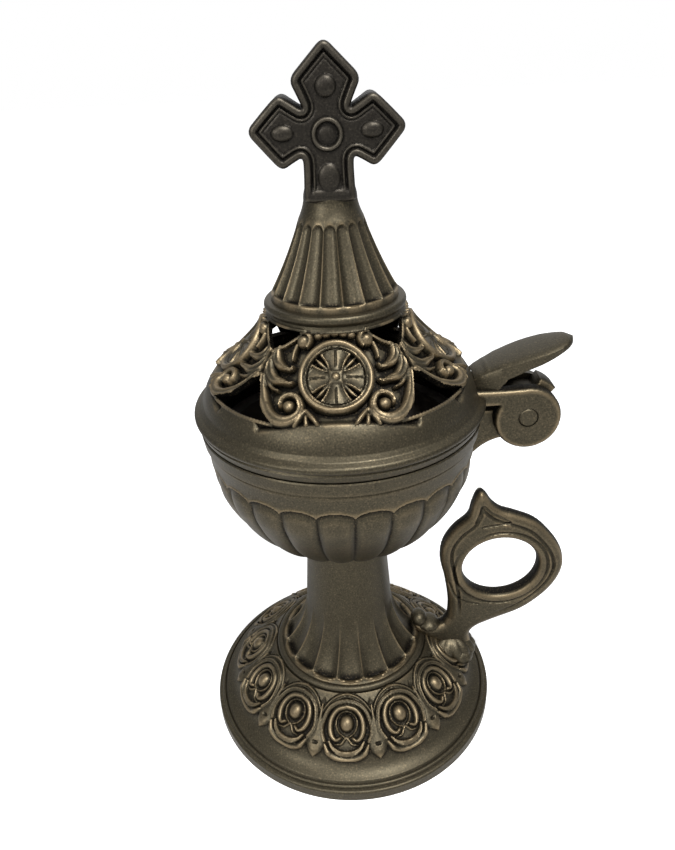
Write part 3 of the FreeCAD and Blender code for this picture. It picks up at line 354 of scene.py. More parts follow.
def loft(rings):
    """Closed surface through rings of points, its two ends closed by fans."""
    rings = np.asarray(rings, float)
    rows, columns = rings.shape[:2]
    points = np.vstack([rings.reshape(-1, 3), rings[0].mean(axis=0), rings[-1].mean(axis=0)])
    return points, [ring_faces(rows, columns, False), end_fans(rows, columns)], None


def running_length(profile):
    """Distance of each point along a profile."""
    return np.concatenate([[0], np.cumsum(np.linalg.norm(np.diff(profile, axis=0), axis=1))])


def turned_at(profile, distance, angle, relief=0.0):
    """Points at distances along a profile and at angles round the Z axis, raised by a relief."""
    length = running_length(profile)
    tangent = np.gradient(profile, length, axis=0)
    tangent /= np.linalg.norm(tangent, axis=1)[:, None]
    radius = np.interp(distance, length, profile[:, 0])
    radius = radius + relief * np.interp(distance, length, tangent[:, 1])
    height = np.interp(distance, length, profile[:, 1])
    height = height - relief * np.interp(distance, length, tangent[:, 0])
    return np.stack([radius * np.cos(angle), radius * np.sin(angle), height], axis=-1)


def rounded_corners(points, radius, steps=4):
    """Closed outline with each corner drawn as a short curve."""
    points = np.array(points, float)
    made = []
    for before, corner, after in zip(np.roll(points, 1, axis=0), points,
                                     np.roll(points, -1, axis=0)):
        ends = []
        for other in (before, after):
            gap = np.linalg.norm(other - corner)
            ends.append(corner + (other - corner) * min(radius / gap, 0.45))
        for t in np.linspace(0, 1, steps):
            made.append((1 - t) ** 2 * ends[0] + 2 * t * (1 - t) * corner + t ** 2 * ends[1])
    return np.array(made)


def compacted(points, faces, cavity):
    """The same faces without the points that none of them uses."""
    used = np.zeros(len(points), bool)
    for group in faces:
        used[group.ravel()] = True
    number = np.cumsum(used) - 1
    return points[used], [number[group] for group in faces], np.asarray(cavity).ravel()[used]


def inside_outline(points):
    """Distance inside a closed outline, negative outside it."""
    points = np.array(points, float)
    starts, ends = points, np.roll(points, -1, axis=0)

    def depth(u, v):
        flat_u, flat_v = np.ravel(u), np.ravel(v)
        nearest = np.full(flat_u.shape, 1e9)
        crossings = np.zeros(flat_u.shape, int)
        for (x0, y0), (x1, y1) in zip(starts, ends):
            step_x, step_y = x1 - x0, y1 - y0
            length = step_x ** 2 + step_y ** 2
            if length < 1e-12:
                continue
            share = np.clip(((flat_u - x0) * step_x + (flat_v - y0) * step_y) / length, 0, 1)
            nearest = np.minimum(nearest, (flat_u - x0 - share * step_x) ** 2
                                 + (flat_v - y0 - share * step_y) ** 2)
            if y0 != y1:
                above = (flat_v > min(y0, y1)) & (flat_v <= max(y0, y1))
                crossings += above & (flat_u < x0 + (flat_v - y0) / (y1 - y0) * step_x)
        sign = np.where(crossings % 2 == 1, 1.0, -1.0)
        return (sign * np.sqrt(nearest)).reshape(np.shape(u))

    return depth


def rounded_edge(inside, half_thickness, radius):
    """Half thickness of a plate whose edge is rounded."""
    share = np.clip(1 - inside / radius, 0.0, 1.0)
    return half_thickness - radius * (1 - np.sqrt(1 - share ** 2))


# Finishes

class Channel:
    """A socket that can be reckoned with like a number."""

    def __init__(self, tree, socket):
        self.tree = tree
        self.socket = socket

    def join(self, operation, other, swapped=False):
        pair = (other, self) if swapped else (self, other)
        return self.tree.add("ShaderNodeMath", {"operation": operation}, dict(enumerate(pair)))

    def __add__(self, other):
        return self.join("ADD", other)

    def __sub__(self, other):
        return self.join("SUBTRACT", other)

    def __rsub__(self, other):
        return self.join("SUBTRACT", other, swapped=True)

    def __mul__(self, other):
        return self.join("MULTIPLY", other)

    __radd__ = __add__
    __rmul__ = __mul__

    def between(self, low, high):
        """0 below low, 1 above high."""
        return self.tree.add("ShaderNodeMapRange", {"interpolation_type": "SMOOTHSTEP"},
                             {"Value": self, "From Min": low, "From Max": high})


class Finish:
    """The nodes of a material or of the world."""

    def __init__(self, owner):
        self.owner = owner
        self.owner.use_nodes = True
        self.nodes = self.owner.node_tree.nodes
        self.links = self.owner.node_tree.links
        self.nodes.clear()

    def add(self, kind, settings=None, inputs=None, output=0):
        """A node of a type, its settings first and then what feeds its sockets."""
        node = self.nodes.new(kind)
        for name, value in (settings or {}).items():
            setattr(node, name, value)
        for name, value in (inputs or {}).items():
            if isinstance(value, Channel):
                self.links.new(value.socket, node.inputs[name])
            else:
                node.inputs[name].default_value = value
        return Channel(self, node.outputs[output]) if len(node.outputs) else None

    def place(self):
        """Position on the object, in metres, the same at every pose."""
        return self.add("ShaderNodeTexCoord", output="Object")

    def noise(self, scale, detail=2.0, roughness=0.5):
        return self.add("ShaderNodeTexNoise", None,
                        {"Vector": self.place(), "Scale": scale, "Detail": detail,
                         "Roughness": roughness})

    def mix(self, share, first, second):
        """Colour between two colours."""
        colours = {"Factor": share, 6: first, 7: second}
        return self.add("ShaderNodeMix", {"data_type": "RGBA"}, colours, output=2)

    def shade(self, **inputs):
        """Finish the material with one shader of these inputs."""
        names = {key: key.replace("_", " ") for key in inputs}
        shader = self.add("ShaderNodeBsdfPrincipled", None,
                          {names[key]: value for key, value in inputs.items()})
        self.add("ShaderNodeOutputMaterial", None, {"Surface": shader})
        return self.owner


def metal_paint(name, painted_shade_and_dark_flecks, body, painted_highlight_and_bright_flecks, grain=1.0):
    """Metallic paint over a casting: painted shade in hollows, a painted highlight on what stands
    proud, with a fine grain of flecks and a faint unevenness."""
    finish = Finish(bpy.data.materials.new(name))
    cavity = finish.add("ShaderNodeAttribute", {"attribute_name": "cavity"}, output="Fac")
    clouds = finish.noise(90.0, 3.0)
    flecks = finish.noise(2600.0, 1.0)
    grit = finish.noise(1500.0, 3.0, 0.6)
    depth = cavity + (clouds - 0.5) * 0.25
    # Painted shade: the darker colour where a point lies deep below its surroundings.
    colour = finish.mix(depth.between(0.5, 0.95), body, painted_shade_and_dark_flecks)
    # Painted highlight: the brighter colour on what stands proud.
    colour = finish.mix((1 - depth).between(0.5, 0.85) * 0.6, colour, painted_highlight_and_bright_flecks)
    # Flecks of the paint's own grain, in the same two colours.
    colour = finish.mix(flecks.between(0.55, 0.75) * 0.2, colour, painted_highlight_and_bright_flecks)
    colour = finish.mix(flecks.between(0.5, 0.25) * 0.35, colour, painted_shade_and_dark_flecks)
    bump = finish.add("ShaderNodeBump", None, {"Strength": 0.25 * grain, "Distance": 0.0001,
                                               "Height": grit + flecks * 0.5})
    roughness = 0.4 + clouds * 0.12 + depth.between(0.5, 0.95) * 0.15
    return finish.shade(Base_Color=colour, Metallic=0.9, Roughness=roughness, Normal=bump)


def sheet_steel(name, plain, worn, roughness, grain_scale):
    """Bare or plated steel with a faint grain and some staining."""
    finish = Finish(bpy.data.materials.new(name))
    stains = finish.noise(120.0, 4.0)
    grain = finish.noise(grain_scale, 2.0)
    colour = finish.mix(stains.between(0.45, 0.7), plain, worn)
    bump = finish.add("ShaderNodeBump", None, {"Strength": 0.15, "Distance": 0.0001,
                                               "Height": grain})
    return finish.shade(Base_Color=colour, Metallic=0.95, Roughness=roughness + stains * 0.15,
                        Normal=bump)


# Bronze paint: its own body colour, with a painted-shade colour for hollows and a
# painted-highlight colour for raised parts, both also used for its flecks.
BRONZE = metal_paint("antique_bronze_with_painted_light", (0.006, 0.005, 0.0035, 1), (0.06, 0.051, 0.033, 1),
                     (0.27, 0.205, 0.12, 1))
# A darker copy of the same bronze paint for the cross: painted shade for how light falls on its
# flat face.
PAINTED_SHADE_BRONZE = metal_paint("painted_shade_bronze", (0.004, 0.0036, 0.0032, 1), (0.024, 0.021, 0.017, 1),
                          (0.11, 0.096, 0.072, 1))
CUP_STEEL = sheet_steel("cup_steel", (0.2, 0.18, 0.16, 1), (0.08, 0.06, 0.045, 1), 0.45, 900.0)
ZINC = sheet_steel("zinc_steel", (0.5, 0.5, 0.48, 1), (0.4, 0.38, 0.33, 1), 0.3, 1500.0)
FINISHES = {"cast_bronze": BRONZE, "pin_bronze": BRONZE, "cross_dark": PAINTED_SHADE_BRONZE}


# Foot and stem

ROSETTES = 12
ROSETTE_ANGLE = -4.5
ROSETTE_SCALE = 27.7
ROSETTE_RADIUS = 27.4
FLUTES = 16
FLUTE_ANGLE = 9.0
FLUTES_START_RADIUS = 19.3


def folded(angle, first, count):
    """Angle from the nearest of evenly spaced marks, in radians."""
    spacing = TURN / count
    return (angle - math.radians(first) + spacing / 2) % spacing - spacing / 2


def from_middle(angle, ridge, count):
    """Share of the way from the middle of a flute or lobe to its edge, where the ridges lie."""
    return (np.abs(folded(angle, ridge + 180.0 / count, count)) * count / math.pi)[None, :]


def rosette_relief(u, v):
    """An egg in nested horseshoes over two crescents, between pointed drops."""
    a = np.abs(u)
    relief = np.full(u.shape, -0.45)
    arch = np.hypot(u, v + 0.2)
    relief = np.maximum(relief, np.where(v > 2.0, bead(arch - 7.35, 0.42, 0.75) - 0.1, -9))
    relief = np.maximum(relief, np.where(v > 2.0, bead(arch - 6.75, 0.3, 0.5) - 0.1, -9))
    corner = np.clip(v - 5.2 + (7.25 - a) * 1.5, 0, 1) * (arch > 7.9) * (v < 7.4)
    relief = np.maximum(relief, corner * 0.35)
    outer_ring = curve_through([(5.2, -4.6), (6.2, -2.4), (6.25, 0.0), (5.2, 3.1), (2.9, 4.9),
                                (0.0, 5.5)])
    carve(relief, a, v, outer_ring, (0.5, 0.75, 0.8, 0.8), 0.95, 0.25)
    horseshoe = curve_through([(1.5, -3.5), (2.5, -4.1), (3.6, -3.1), (4.25, -1.0), (4.0, 1.4),
                               (2.5, 3.4), (0.0, 4.15)])
    carve(relief, a, v, horseshoe, (0.4, 0.75, 0.85, 0.85, 0.8), 1.05)
    inner_ring = curve_through([(0.55, -3.2), (1.9, -2.2), (2.75, -0.4), (2.5, 1.4), (1.4, 2.6),
                                (0.0, 3.0)])
    carve(relief, a, v, inner_ring, (0.25, 0.3, 0.3), 0.75)
    relief = np.maximum(relief, ball(u, v, (0.0, 0.1), 2.0, 2.35, 2.1) - 0.5)
    trefoil = curve_through([(0.0, -3.3), (0.6, -4.0), (1.3, -4.9), (2.6, -5.2)])
    carve(relief, a, v, trefoil, (0.3, 0.35, 0.3), 0.6)
    upper_crescent = curve_through([(0.0, -7.2), (1.7, -6.9), (3.1, -6.0), (4.0, -4.6)])
    carve(relief, a, v, upper_crescent, (0.75, 0.7, 0.35), 0.95, 0.2)
    lower_crescent = curve_through([(0.0, -8.8), (2.1, -8.4), (3.9, -7.3), (5.0, -5.4)])
    carve(relief, a, v, lower_crescent, (0.95, 0.85, 0.45), 0.95)
    from_drop = TURN / ROSETTES / 2 * ROSETTE_SCALE - a
    shield = np.interp(v, (-9.0, -7.8, -6.0, -4.6, -2.6, 1.0, 4.2),
                       (0.0, 1.3, 2.3, 2.4, 1.2, 0.7, 0.3))
    drop = np.clip(1 - (from_drop / np.maximum(shield, 0.05)) ** 2, 0, 1) ** 0.5
    drop = drop * np.where((v > -9) & (v < 4.2), 1.15, 0.0)
    dimple = ball(from_drop, v, (0.0, -5.3), 0.75, 0.5, 0.5)
    return np.maximum(relief, drop - 0.25 - dimple)


def foot_relief(profile, angle, along):
    """Relief over the whole foot, rows along the profile from the rim up."""
    radius = profile[:, 0]
    centre = np.interp(-ROSETTE_RADIUS, -radius, along)
    v = (along - centre)[:, None] + 0 * angle
    u = folded(angle, ROSETTE_ANGLE, ROSETTES)[None, :] * ROSETTE_SCALE + 0 * v
    rosettes = rosette_relief(u, v)
    strength = np.where(v > -9.0, v < 7.5, smooth(-9.6, -7.4, v))
    ground = np.minimum(rosettes, 0.0) * smooth(-9.4, -6.0, v) * (1 - smooth(6.9, 7.4, v))
    relief = np.where(rosettes > 0, rosettes * strength, ground)
    flute_start = np.interp(-FLUTES_START_RADIUS, -radius, along)
    rise = along[:, None] - flute_start
    share = from_middle(angle, FLUTE_ANGLE, FLUTES)
    foot_line = 0.5 + 1.1 * rounding(share)
    depth = smooth(0.0, 0.45, rise - foot_line) * (1 - smooth(8.0, 19.0, rise))
    hollow = 1.25 * (1 - share ** 2.8) * depth
    lip = bead(rise - foot_line + 0.25, 0.28, 0.22)
    return np.where(rise > -0.2, lip - hollow, relief)


def add_foot():
    """Foot plate and stem in one casting, hollow underneath."""
    rim = outline([(FOOT_RADIUS, 0.0), (FOOT_RADIUS, 2.2),
                   (FOOT_RADIUS - 0.1, 2.7, FOOT_RADIUS - 0.6, 2.95),
                   (FOOT_RADIUS - 1.1, 3.0),
                   (FOOT_RADIUS - 1.25, 3.55, FOOT_RADIUS - 1.75, 3.7),
                   (FOOT_RADIUS - 2.0, 3.4), (FOOT_RADIUS - 2.5, 4.1)], 0.22)
    cove = outline([rim[-1], (FOOT_RADIUS - 5.0, 5.5, 33.0, 8.6)], 0.2)[1:]
    band = outline([cove[-1], (21.5, 17.6)], 0.18)[1:]
    bead_ring = outline([band[-1], (21.3, 17.45), (20.9, 18.6, 19.9, 18.75), (19.6, 18.6),
                         (19.3, 18.85)], 0.15)[1:]
    flare = outline([bead_ring[-1], (14.35, 25.5, 11.65, 36.0)], 0.3)[1:]
    stem = outline([flare[-1], (10.4, STEM_TOP)], 0.75)[1:]
    outside = np.vstack([rim, cove, band, bead_ring, flare, stem])
    web = outline([outside[-1], (2.7, STEM_TOP), (2.7, STEM_TOP - 4.0), (8.2, STEM_TOP - 4.0),
                   (9.4, 36.0), (12.2, 24.4, 17.0, 16.8), (20.6, 15.4), (31.9, 6.4),
                   (FOOT_RADIUS - 4.2, 2.6), (FOOT_RADIUS - 2.2, 0.0)], 2.5)[1:]
    columns = 1080
    angle = np.arange(columns) * TURN / columns
    relief = foot_relief(outside, angle, running_length(outside))
    whole = np.vstack([outside, web])
    relief = np.vstack([relief, np.zeros((len(web), columns))])
    cavity = hollowness(relief, 7, 0.55)
    make_piece("foot_casting", lathe(whole, columns, relief, cavity), "stand", "foot")


# Bowl

BOSS_RADIUS = 11.3
LOBES = 24
LOBE_ANGLE = 3.8
LOBE_TOP = 83.3
BAND_LINE = 87.9


def bowl_relief(profile, angle, outer_rows):
    """Rounded lobes with arched tops under a plain band, on the outer rows of the profile."""
    radius, height = profile[:, :1], profile[:, 1:]
    share = from_middle(angle, LOBE_ANGLE, LOBES)
    round_off = rounding(share * 0.985)
    below = LOBE_TOP - 2.0 * round_off - height
    under = smooth(0.0, 0.35, below) * smooth(56.4, 60.0, height)
    groove = np.interp(height, (57, 64, 74, 82), (0.45, 0.95, 1.25, 0.9))
    lobe = groove * round_off + 0.55 * (1 - smooth(0.0, 3.2, below)) * (1 - share ** 4)
    belly = 0.8 * smooth(57.0, 63.0, height) * smooth(83.0, 76.0, height)
    relief = bead(below + 0.1, 0.34, 0.18) - lobe * under + belly
    line = bead(height - BAND_LINE, 0.32, 0.3) * (radius > 31.0)
    return np.where(np.arange(len(profile))[:, None] < outer_rows, relief - line, 0.0)


def add_bowl():
    """Lobed bowl with its boss below and its ledge for the cup inside."""
    boss = outline([(2.7, STEM_TOP), (BOSS_RADIUS - 0.4, STEM_TOP), (BOSS_RADIUS, STEM_TOP + 0.4),
                    (BOSS_RADIUS, STEM_TOP + 1.9), (BOSS_RADIUS + 0.1, STEM_TOP + 2.2)], 0.4)
    side = outline([boss[-1], (22.3, 63.4, 32.2, 84.5)], 0.24)[1:]
    band = outline([side[-1], (32.7, 87.8), (33.2, 88.3), (33.6, RIM - 0.3),
                    (33.4, RIM)], 0.2)[1:]
    inside = outline([band[-1], (31.4, RIM), (31.4, RIM - 5.5), (29.6, RIM - 5.5),
                      (20.5, 65.2, 11.0, 58.6), (2.7, 58.6)], 1.6)[1:]
    outside = np.vstack([boss, side, band])
    whole = np.vstack([outside, inside])
    columns = 720
    angle = np.arange(columns) * TURN / columns
    relief = bowl_relief(whole, angle, len(outside))
    cavity = hollowness(relief, 6, 0.5)
    # Painted shade: the inside of the bowl takes the full dark colour.
    cavity[len(outside) + 3:] = 1.0
    shell = lathe(whole, columns, relief, cavity)
    make_piece("bowl_casting", joined(shell, lug_part()), "stand", "bowl")


# Lid

PANELS = 4
PANEL_ANGLE = -91.5
OPENING_ANGLE = PANEL_ANGLE + 180.0 / PANELS
PANEL_RADIUS = 21.7
PANEL_HEIGHT = RIM + 18.6
LID_WALL = 2.0
ROUND_RADIUS = 25.0

LID_LIP = outline(above(RIM, [
    (31.4, 0.2), (33.2, 0.2), (33.5, 0.5), (34.0, 1.9), (33.7, 2.3), (33.9, 2.5),
    (34.55, 3.2, 33.9, 4.3), (33.0, 4.75), (32.2, 5.9)]), 0.25)
LID_SHOULDER = outline([LID_LIP[-1]] + above(RIM, [(30.3, 10.3, 26.6, 13.5)]), 0.2)
LID_DOME = np.vstack([LID_SHOULDER, outline(
    [LID_SHOULDER[-1]] + above(RIM, [(19.3, 20.8, 15.4, 25.9)]), 0.19)[1:]])
LID_COLLAR = outline([LID_DOME[-1]] + above(RIM, [
    (15.2, 26.6), (15.5, 27.0), (15.95, 27.9, 15.5, 28.8)]) + [(14.9, LID_TOP)], 0.25)


def dome_distance(height):
    """Distance along the lid's dome at which it reaches a height."""
    return np.interp(height, LID_DOME[:, 1], running_length(LID_DOME))


def opening_outline(half):
    """Distance inside an opening, from its right half in offset and height above the rim."""
    right = [(offset, dome_distance(height)) for offset, height in above(RIM, half)]
    left = [(-offset, distance) for offset, distance in reversed(right) if offset]
    return inside_outline(right + left)


LOW_OPENING = opening_outline([
    (9.5, 10.9), (8.2, 11.5), (6.4, 12.2), (4.9, 12.9), (3.8, 13.8), (2.6, 14.9), (1.5, 16.0),
    (0.0, 17.0)])
HIGH_OPENING = opening_outline([
    (0.0, 21.4), (1.1, 22.0), (2.2, 22.7), (3.5, 23.6), (4.9, 24.8), (5.3, 25.5)])


def opening_depth(distance, angle):
    """Distance inside the openings between the panels."""
    radius = np.interp(distance, running_length(LID_DOME), LID_DOME[:, 0])
    sideways = radius * np.sin(folded(angle, OPENING_ANGLE, PANELS))
    ragged = 0.09 * np.sin(7.1 * sideways + 2.3) * np.sin(5.3 * distance)
    return np.maximum(LOW_OPENING(sideways, distance), HIGH_OPENING(sideways, distance)) + ragged


def medallion_relief(u, v):
    """Round band with a cross of four splayed petals and four thin rays in it."""
    reach = np.hypot(u, v)
    along, aside = np.maximum(abs(u), abs(v)), np.minimum(abs(u), abs(v))
    half = 1.25 + 1.75 * np.clip((reach - 1.6) / 4.2, 0, 1) ** 1.6
    petal = 0.95 * np.sqrt(np.clip(1 - (aside / half) ** 2, 0, 1)) - 0.5
    petal = petal - 0.3 * bead(aside, 0.25, 1.0) * (along > 2.2)
    relief = np.where((aside < half) & (reach < 5.75) & (along > 1.1), petal, -1.25)
    side_line = bead(aside - half, 0.3, 0.7) * (reach < 5.9) * (along > 1.3)
    end_line = bead(reach - 5.75, 0.3, 0.7) * (aside < half + 0.15)
    lines = np.maximum(side_line, end_line)
    relief = np.where(lines > 0.02, np.maximum(relief, lines - 0.3), relief)
    diagonal, beside = (along + aside) / math.sqrt(2), (along - aside) / math.sqrt(2)
    ray_width = np.interp(diagonal, (1.6, 2.4, 4.6, 5.9), (0.25, 0.42, 0.5, 0.2))
    ray = bead(beside / ray_width, 1.0, 0.8) * (diagonal > 1.6) * (diagonal < 6.0)
    relief = np.where(ray > 0.02, np.maximum(relief, ray - 0.65), relief)
    square = np.sqrt(np.clip(1 - (along / 1.75) ** 4, 0, 1))
    relief = np.where(square > 0, np.maximum(relief, 0.9 * square - 0.15), relief)
    relief = raised(relief, ball(u, v, (0, 0), 0.85, 0.85, 0.6) + 0.65 * (reach < 0.85))
    relief = raised(relief, bead(reach - 6.35, 0.3, 0.7))
    return raised(relief, bead(reach - 7.2, 0.8, 1.15))


VOLUTE = curve_through([(15.4, 2.4), (15.5, -0.8), (15.2, -3.6), (14.1, -6.6), (12.1, -8.5),
                        (9.8, -8.9), (7.9, -7.9), (7.35, -5.9), (8.0, -3.9), (9.6, -3.1),
                        (11.2, -3.8), (11.6, -5.2)])
LOWER_FLAME = curve_through([(13.9, 5.6), (14.1, 3.4), (13.2, 1.2), (11.3, 0.2), (9.8, -0.6),
                             (8.9, -0.4)])
UPPER_FLAME = curve_through([(12.3, 7.4), (12.5, 5.6), (11.7, 4.0), (10.4, 3.0), (9.3, 2.5),
                             (8.8, 3.0)])
FLAME_RIB = curve_through([(15.0, 4.4), (14.9, 2.0), (13.6, -0.6), (12.2, -1.7)])
UPPER_SCROLL = curve_through([(13.6, 6.4), (11.6, 8.6), (9.4, 10.1), (7.2, 10.5), (5.6, 9.7),
                              (5.0, 8.3), (5.7, 7.0)])
SCROLL_STEM = curve_through([(7.9, 7.6), (8.6, 6.2), (8.9, 4.6)])
TOP_LINE = curve_through([(0.0, 10.6), (2.5, 10.5), (4.6, 10.0)])
LEAF_SIDES = (curve_through([(6.3, -6.9), (7.3, -8.3), (8.6, -10.2)]),
              curve_through([(6.3, -6.9), (5.2, -8.4), (3.9, -10.2)]))
LEAF_RIB = [(6.3, -8.3), (6.2, -10.0)]


def scroll_relief(u, v):
    """Volutes, flame leaves and beads beside, above and below the medallion."""
    a = np.abs(u)
    relief = np.full(u.shape, -0.9)
    carve(relief, a, v, VOLUTE, (0.7, 1.1, 1.35, 1.35, 1.0, 0.7, 0.55), 1.25, 0.3)
    carve(relief, a, v, LOWER_FLAME, (0.9, 1.35, 1.2, 0.75, 0.35), 1.2, 0.35)
    carve(relief, a, v, UPPER_FLAME, (0.8, 1.1, 1.0, 0.6, 0.3), 1.15, 0.3)
    carve(relief, a, v, FLAME_RIB, (0.5, 0.6, 0.3), 0.8)
    carve(relief, a, v, UPPER_SCROLL, (0.5, 0.85, 0.8, 0.65, 0.5), 1.1, 0.2)
    carve(relief, a, v, SCROLL_STEM, (0.5, 0.35), 0.8)
    carve(relief, a, v, TOP_LINE, (0.35, 0.3), 0.7)
    for side in LEAF_SIDES:
        carve(relief, a, v, side, (0.45, 0.6, 0.4), 0.85)
    carve(relief, a, v, LEAF_RIB, (0.4, 0.5), 0.6)
    bosses = [((9.8, -5.6), 1.3, 1.3, 1.5), ((6.5, 8.0), 1.35, 1.35, 1.6)]
    bosses += [((place, 9.1 - 0.1 * place), 0.85, 0.7, 1.0) for place in (0.0, 1.75, 3.4)]
    for place, half_width, half_height, height in bosses:
        relief = raised(relief, ball(a, v, place, half_width, half_height, height))
    return relief


def lid_relief(distance, angle):
    """Relief of the four panels, with a thin lip round each opening."""
    length = running_length(LID_DOME)
    radius = np.interp(distance, length, LID_DOME[:, 0])
    height = np.interp(distance, length, LID_DOME[:, 1])
    local = folded(angle, PANEL_ANGLE, PANELS)
    u = radius * np.sin(local)
    v = ((PANEL_RADIUS - radius * np.cos(local)) + (height - PANEL_HEIGHT)) / math.sqrt(2)
    reach = np.hypot(u, v)
    made = np.where(reach < 7.2, medallion_relief(u, v),
                    raised(scroll_relief(u, v), bead(reach - 7.2, 0.8, 1.15)))
    from_top = RIM + 25.6 - height
    made = made - 0.5 * smooth(-9.5, -6.0, v) * smooth(0.0, 2.5, from_top)
    made = np.where(made < 0, made * smooth(-10.6, -9.0, v) * smooth(0.0, 0.9, from_top),
                    made * smooth(-10.9, -10.2, v) * smooth(0.0, 0.5, from_top))
    made = made * smooth(17.2, 16.2, np.abs(u))
    neck = bead((math.pi / PANELS - np.abs(local)) * radius, 0.45, 0.8)
    neck = neck * smooth(RIM + 14.5, RIM + 17.0, height) * smooth(RIM + 22.5, RIM + 21.0, height)
    lip = bead(opening_depth(distance, angle) + 0.35, 0.4, 0.3)
    return raised(made - neck, lip)


def lid_shell():
    """Dome with its openings, its bead and its collar."""
    columns = 900
    length = running_length(LID_DOME)
    rows = len(length)
    distance, round_length, kept, _ = cut_grid(
        length, np.arange(columns + 1) * TURN * ROUND_RADIUS / columns,
        lambda along, across: -opening_depth(along, across / ROUND_RADIUS))
    distance, angle = distance[:, :-1], round_length[:, :-1] / ROUND_RADIUS
    relief = lid_relief(distance, angle)
    plate_under = LID_TOP - 2.2
    top = outline([LID_COLLAR[-1], (6.1, LID_TOP), (6.1, plate_under), (13.4, plate_under)], 1.5)
    low = outline([(30.2, RIM + 5.7), (31.4, RIM + 2.7), (31.4, RIM + 1.0)], 1.0)
    wall = LID_WALL - 1.1 * smooth(-3.0, -0.6, opening_depth(distance, angle))
    inner = turned_at(LID_DOME, distance, angle, -wall)[::-1]
    parts = [turned(LID_LIP[:-1], columns), turned_at(LID_DOME, distance, angle, relief),
             turned(np.vstack([LID_COLLAR[1:], top[1:]]), columns), inner, turned(low, columns)]
    starts = np.cumsum([0] + [len(part) for part in parts])
    total = starts[-1]
    shown = np.ones((total, columns), bool)
    shown[starts[1]:starts[2] - 1] = kept
    shown[starts[3]:starts[4] - 1] = kept[::-1]
    quads = ring_faces(total, columns, True).reshape(total, columns, 4)[shown]
    row, column = np.divmod(cell_edges(kept, columns + 1), columns + 1)
    column = column % columns
    outer_edge = (starts[1] + row) * columns + column
    inner_edge = (starts[3] + rows - 1 - row) * columns + column
    walls = np.stack([outer_edge[:, 0], outer_edge[:, 1], inner_edge[:, 1], inner_edge[:, 0]],
                     axis=-1)
    cavity = np.full((total, columns), 0.5)
    cavity[starts[1]:starts[2]] = hollowness(relief, 6, 0.5)
    # Painted shade: the lid's inside takes the full dark colour.
    cavity[starts[3]:] = 1.0
    points = np.concatenate(parts).reshape(-1, 3)
    shell = compacted(points, [quads], cavity)
    # Painted shade: the walls of the openings take the full dark colour too.
    return joined(shell, compacted(points, [walls], np.ones(len(points))))


def hinge_ear(side):
    """Arm from the lid's shoulder that ends in a round ear, on one side of the knuckle."""
    ear_radius, arm_low, arm_high, ear_thickness = 7.9, RIM + 1.7, RIM + 5.7, 3.1
    middle = HINGE[2] - 0.4
    first = math.pi - math.asin((arm_low - middle) / ear_radius)
    arc = [(HINGE[0] + ear_radius * math.cos(angle), middle + ear_radius * math.sin(angle))
           for angle in np.linspace(first, TURN + math.pi / 2, 60)]
    edge = inside_outline([(31.0, arm_low)] + arc + [(HINGE[0] - 5.5, arm_high),
                                                     (31.0, arm_high)])

    def from_pin(x, z):
        return np.hypot(x - HINGE[0], z - HINGE[2]) - PIN_RADIUS

    def outer_face(x, z):
        half = rounded_edge(np.maximum(edge(x, z), 0), ear_thickness / 2, 1.0)
        return half - 0.1 * (1 - smooth(0.0, 0.3, from_pin(x, z)))

    def inner_face(x, z):
        return np.full(x.shape, ear_thickness / 2)

    faces = (outer_face, inner_face) if side < 0 else (inner_face, outer_face)
    return plate(lambda x, z: np.minimum(edge(x, z), from_pin(x, z)), (30, HINGE[2] - 8.2),
                 (HINGE[0] + 8.2, HINGE[2] + 8.2), 0.25, *faces,
                 middle=side * (HINGE_HALF_WIDTH - ear_thickness / 2))


def block(low, high):
    """Box from corner to corner."""
    ring = [(low[1], low[2]), (high[1], low[2]), (high[1], high[2]), (low[1], high[2])]
    return loft([[(x, y, z) for y, z in ring] for x in (low[0], high[0])])


def add_lid():
    """Pierced dome with its hinge arm and ears."""
    arm = block((31.0, -3.3, RIM + 1.75), (HINGE[0] - 7.8, 3.3, RIM + 5.65))
    parts = joined(lid_shell(), hinge_ear(-1), hinge_ear(1), arm)
    make_piece("lid_casting", parts, "lid", "lid")


def add_thumb_lever():
    """Leaf-shaped lever on the hinge arm, hollowed underneath towards its tip."""
    root, tip = LEVER_LOW[0], LEVER_HIGH[0]
    widest, widest_half = 45.0, 6.3
    seat = RIM + 5.7
    rings = []
    across = np.linspace(-1, 1, 25)
    tip_length = 1.2
    for x in np.concatenate([np.linspace(root, tip - tip_length, 70),
                             tip - tip_length * np.linspace(0.93, 0.02, 14) ** 2]):
        half = np.interp(x, (30.0, 33.0, 37.2, 41.0, widest), (3.6, 4.5, 5.45, 6.1, widest_half))
        if x > widest:
            half = widest_half * math.sqrt(1 - ((x - widest) / (tip - widest)) ** 2)
        top = RIM - 0.05 + np.interp(x, (30.0, 32.5, 37.5, 43.0, 48.5, 53.0, 54.6),
                                     (7.7, 9.5, 12.0, 14.0, 15.6, 16.7, 16.4))
        under = np.interp(x, (37.2, 38.9, 43.0, 47.1, 51.0, 54.6),
                          (seat, RIM + 8.9, RIM + 11.0, RIM + 12.7, RIM + 14.4, RIM + 15.8))
        rise = 0.35 * bead(x - root - 3.2, 0.5, 1.0)
        crown = top - 0.45 * across ** 2 - 0.5 * np.abs(across) ** 9 + rise * (1 - across ** 2)
        keel = np.full(25, under) if x < 38 else under - 0.5 * across ** 2
        keel = np.minimum(keel, crown - 0.3)
        upper = [(x, y, z) for y, z in zip(across * half, crown)]
        lower = [(x, y, z) for y, z in zip(across[::-1] * half * 0.97, keel[::-1])]
        rings.append(upper + lower)
    make_piece("thumb_leaf", loft(rings), "lid", "thumb_lever", sharp=55.0)


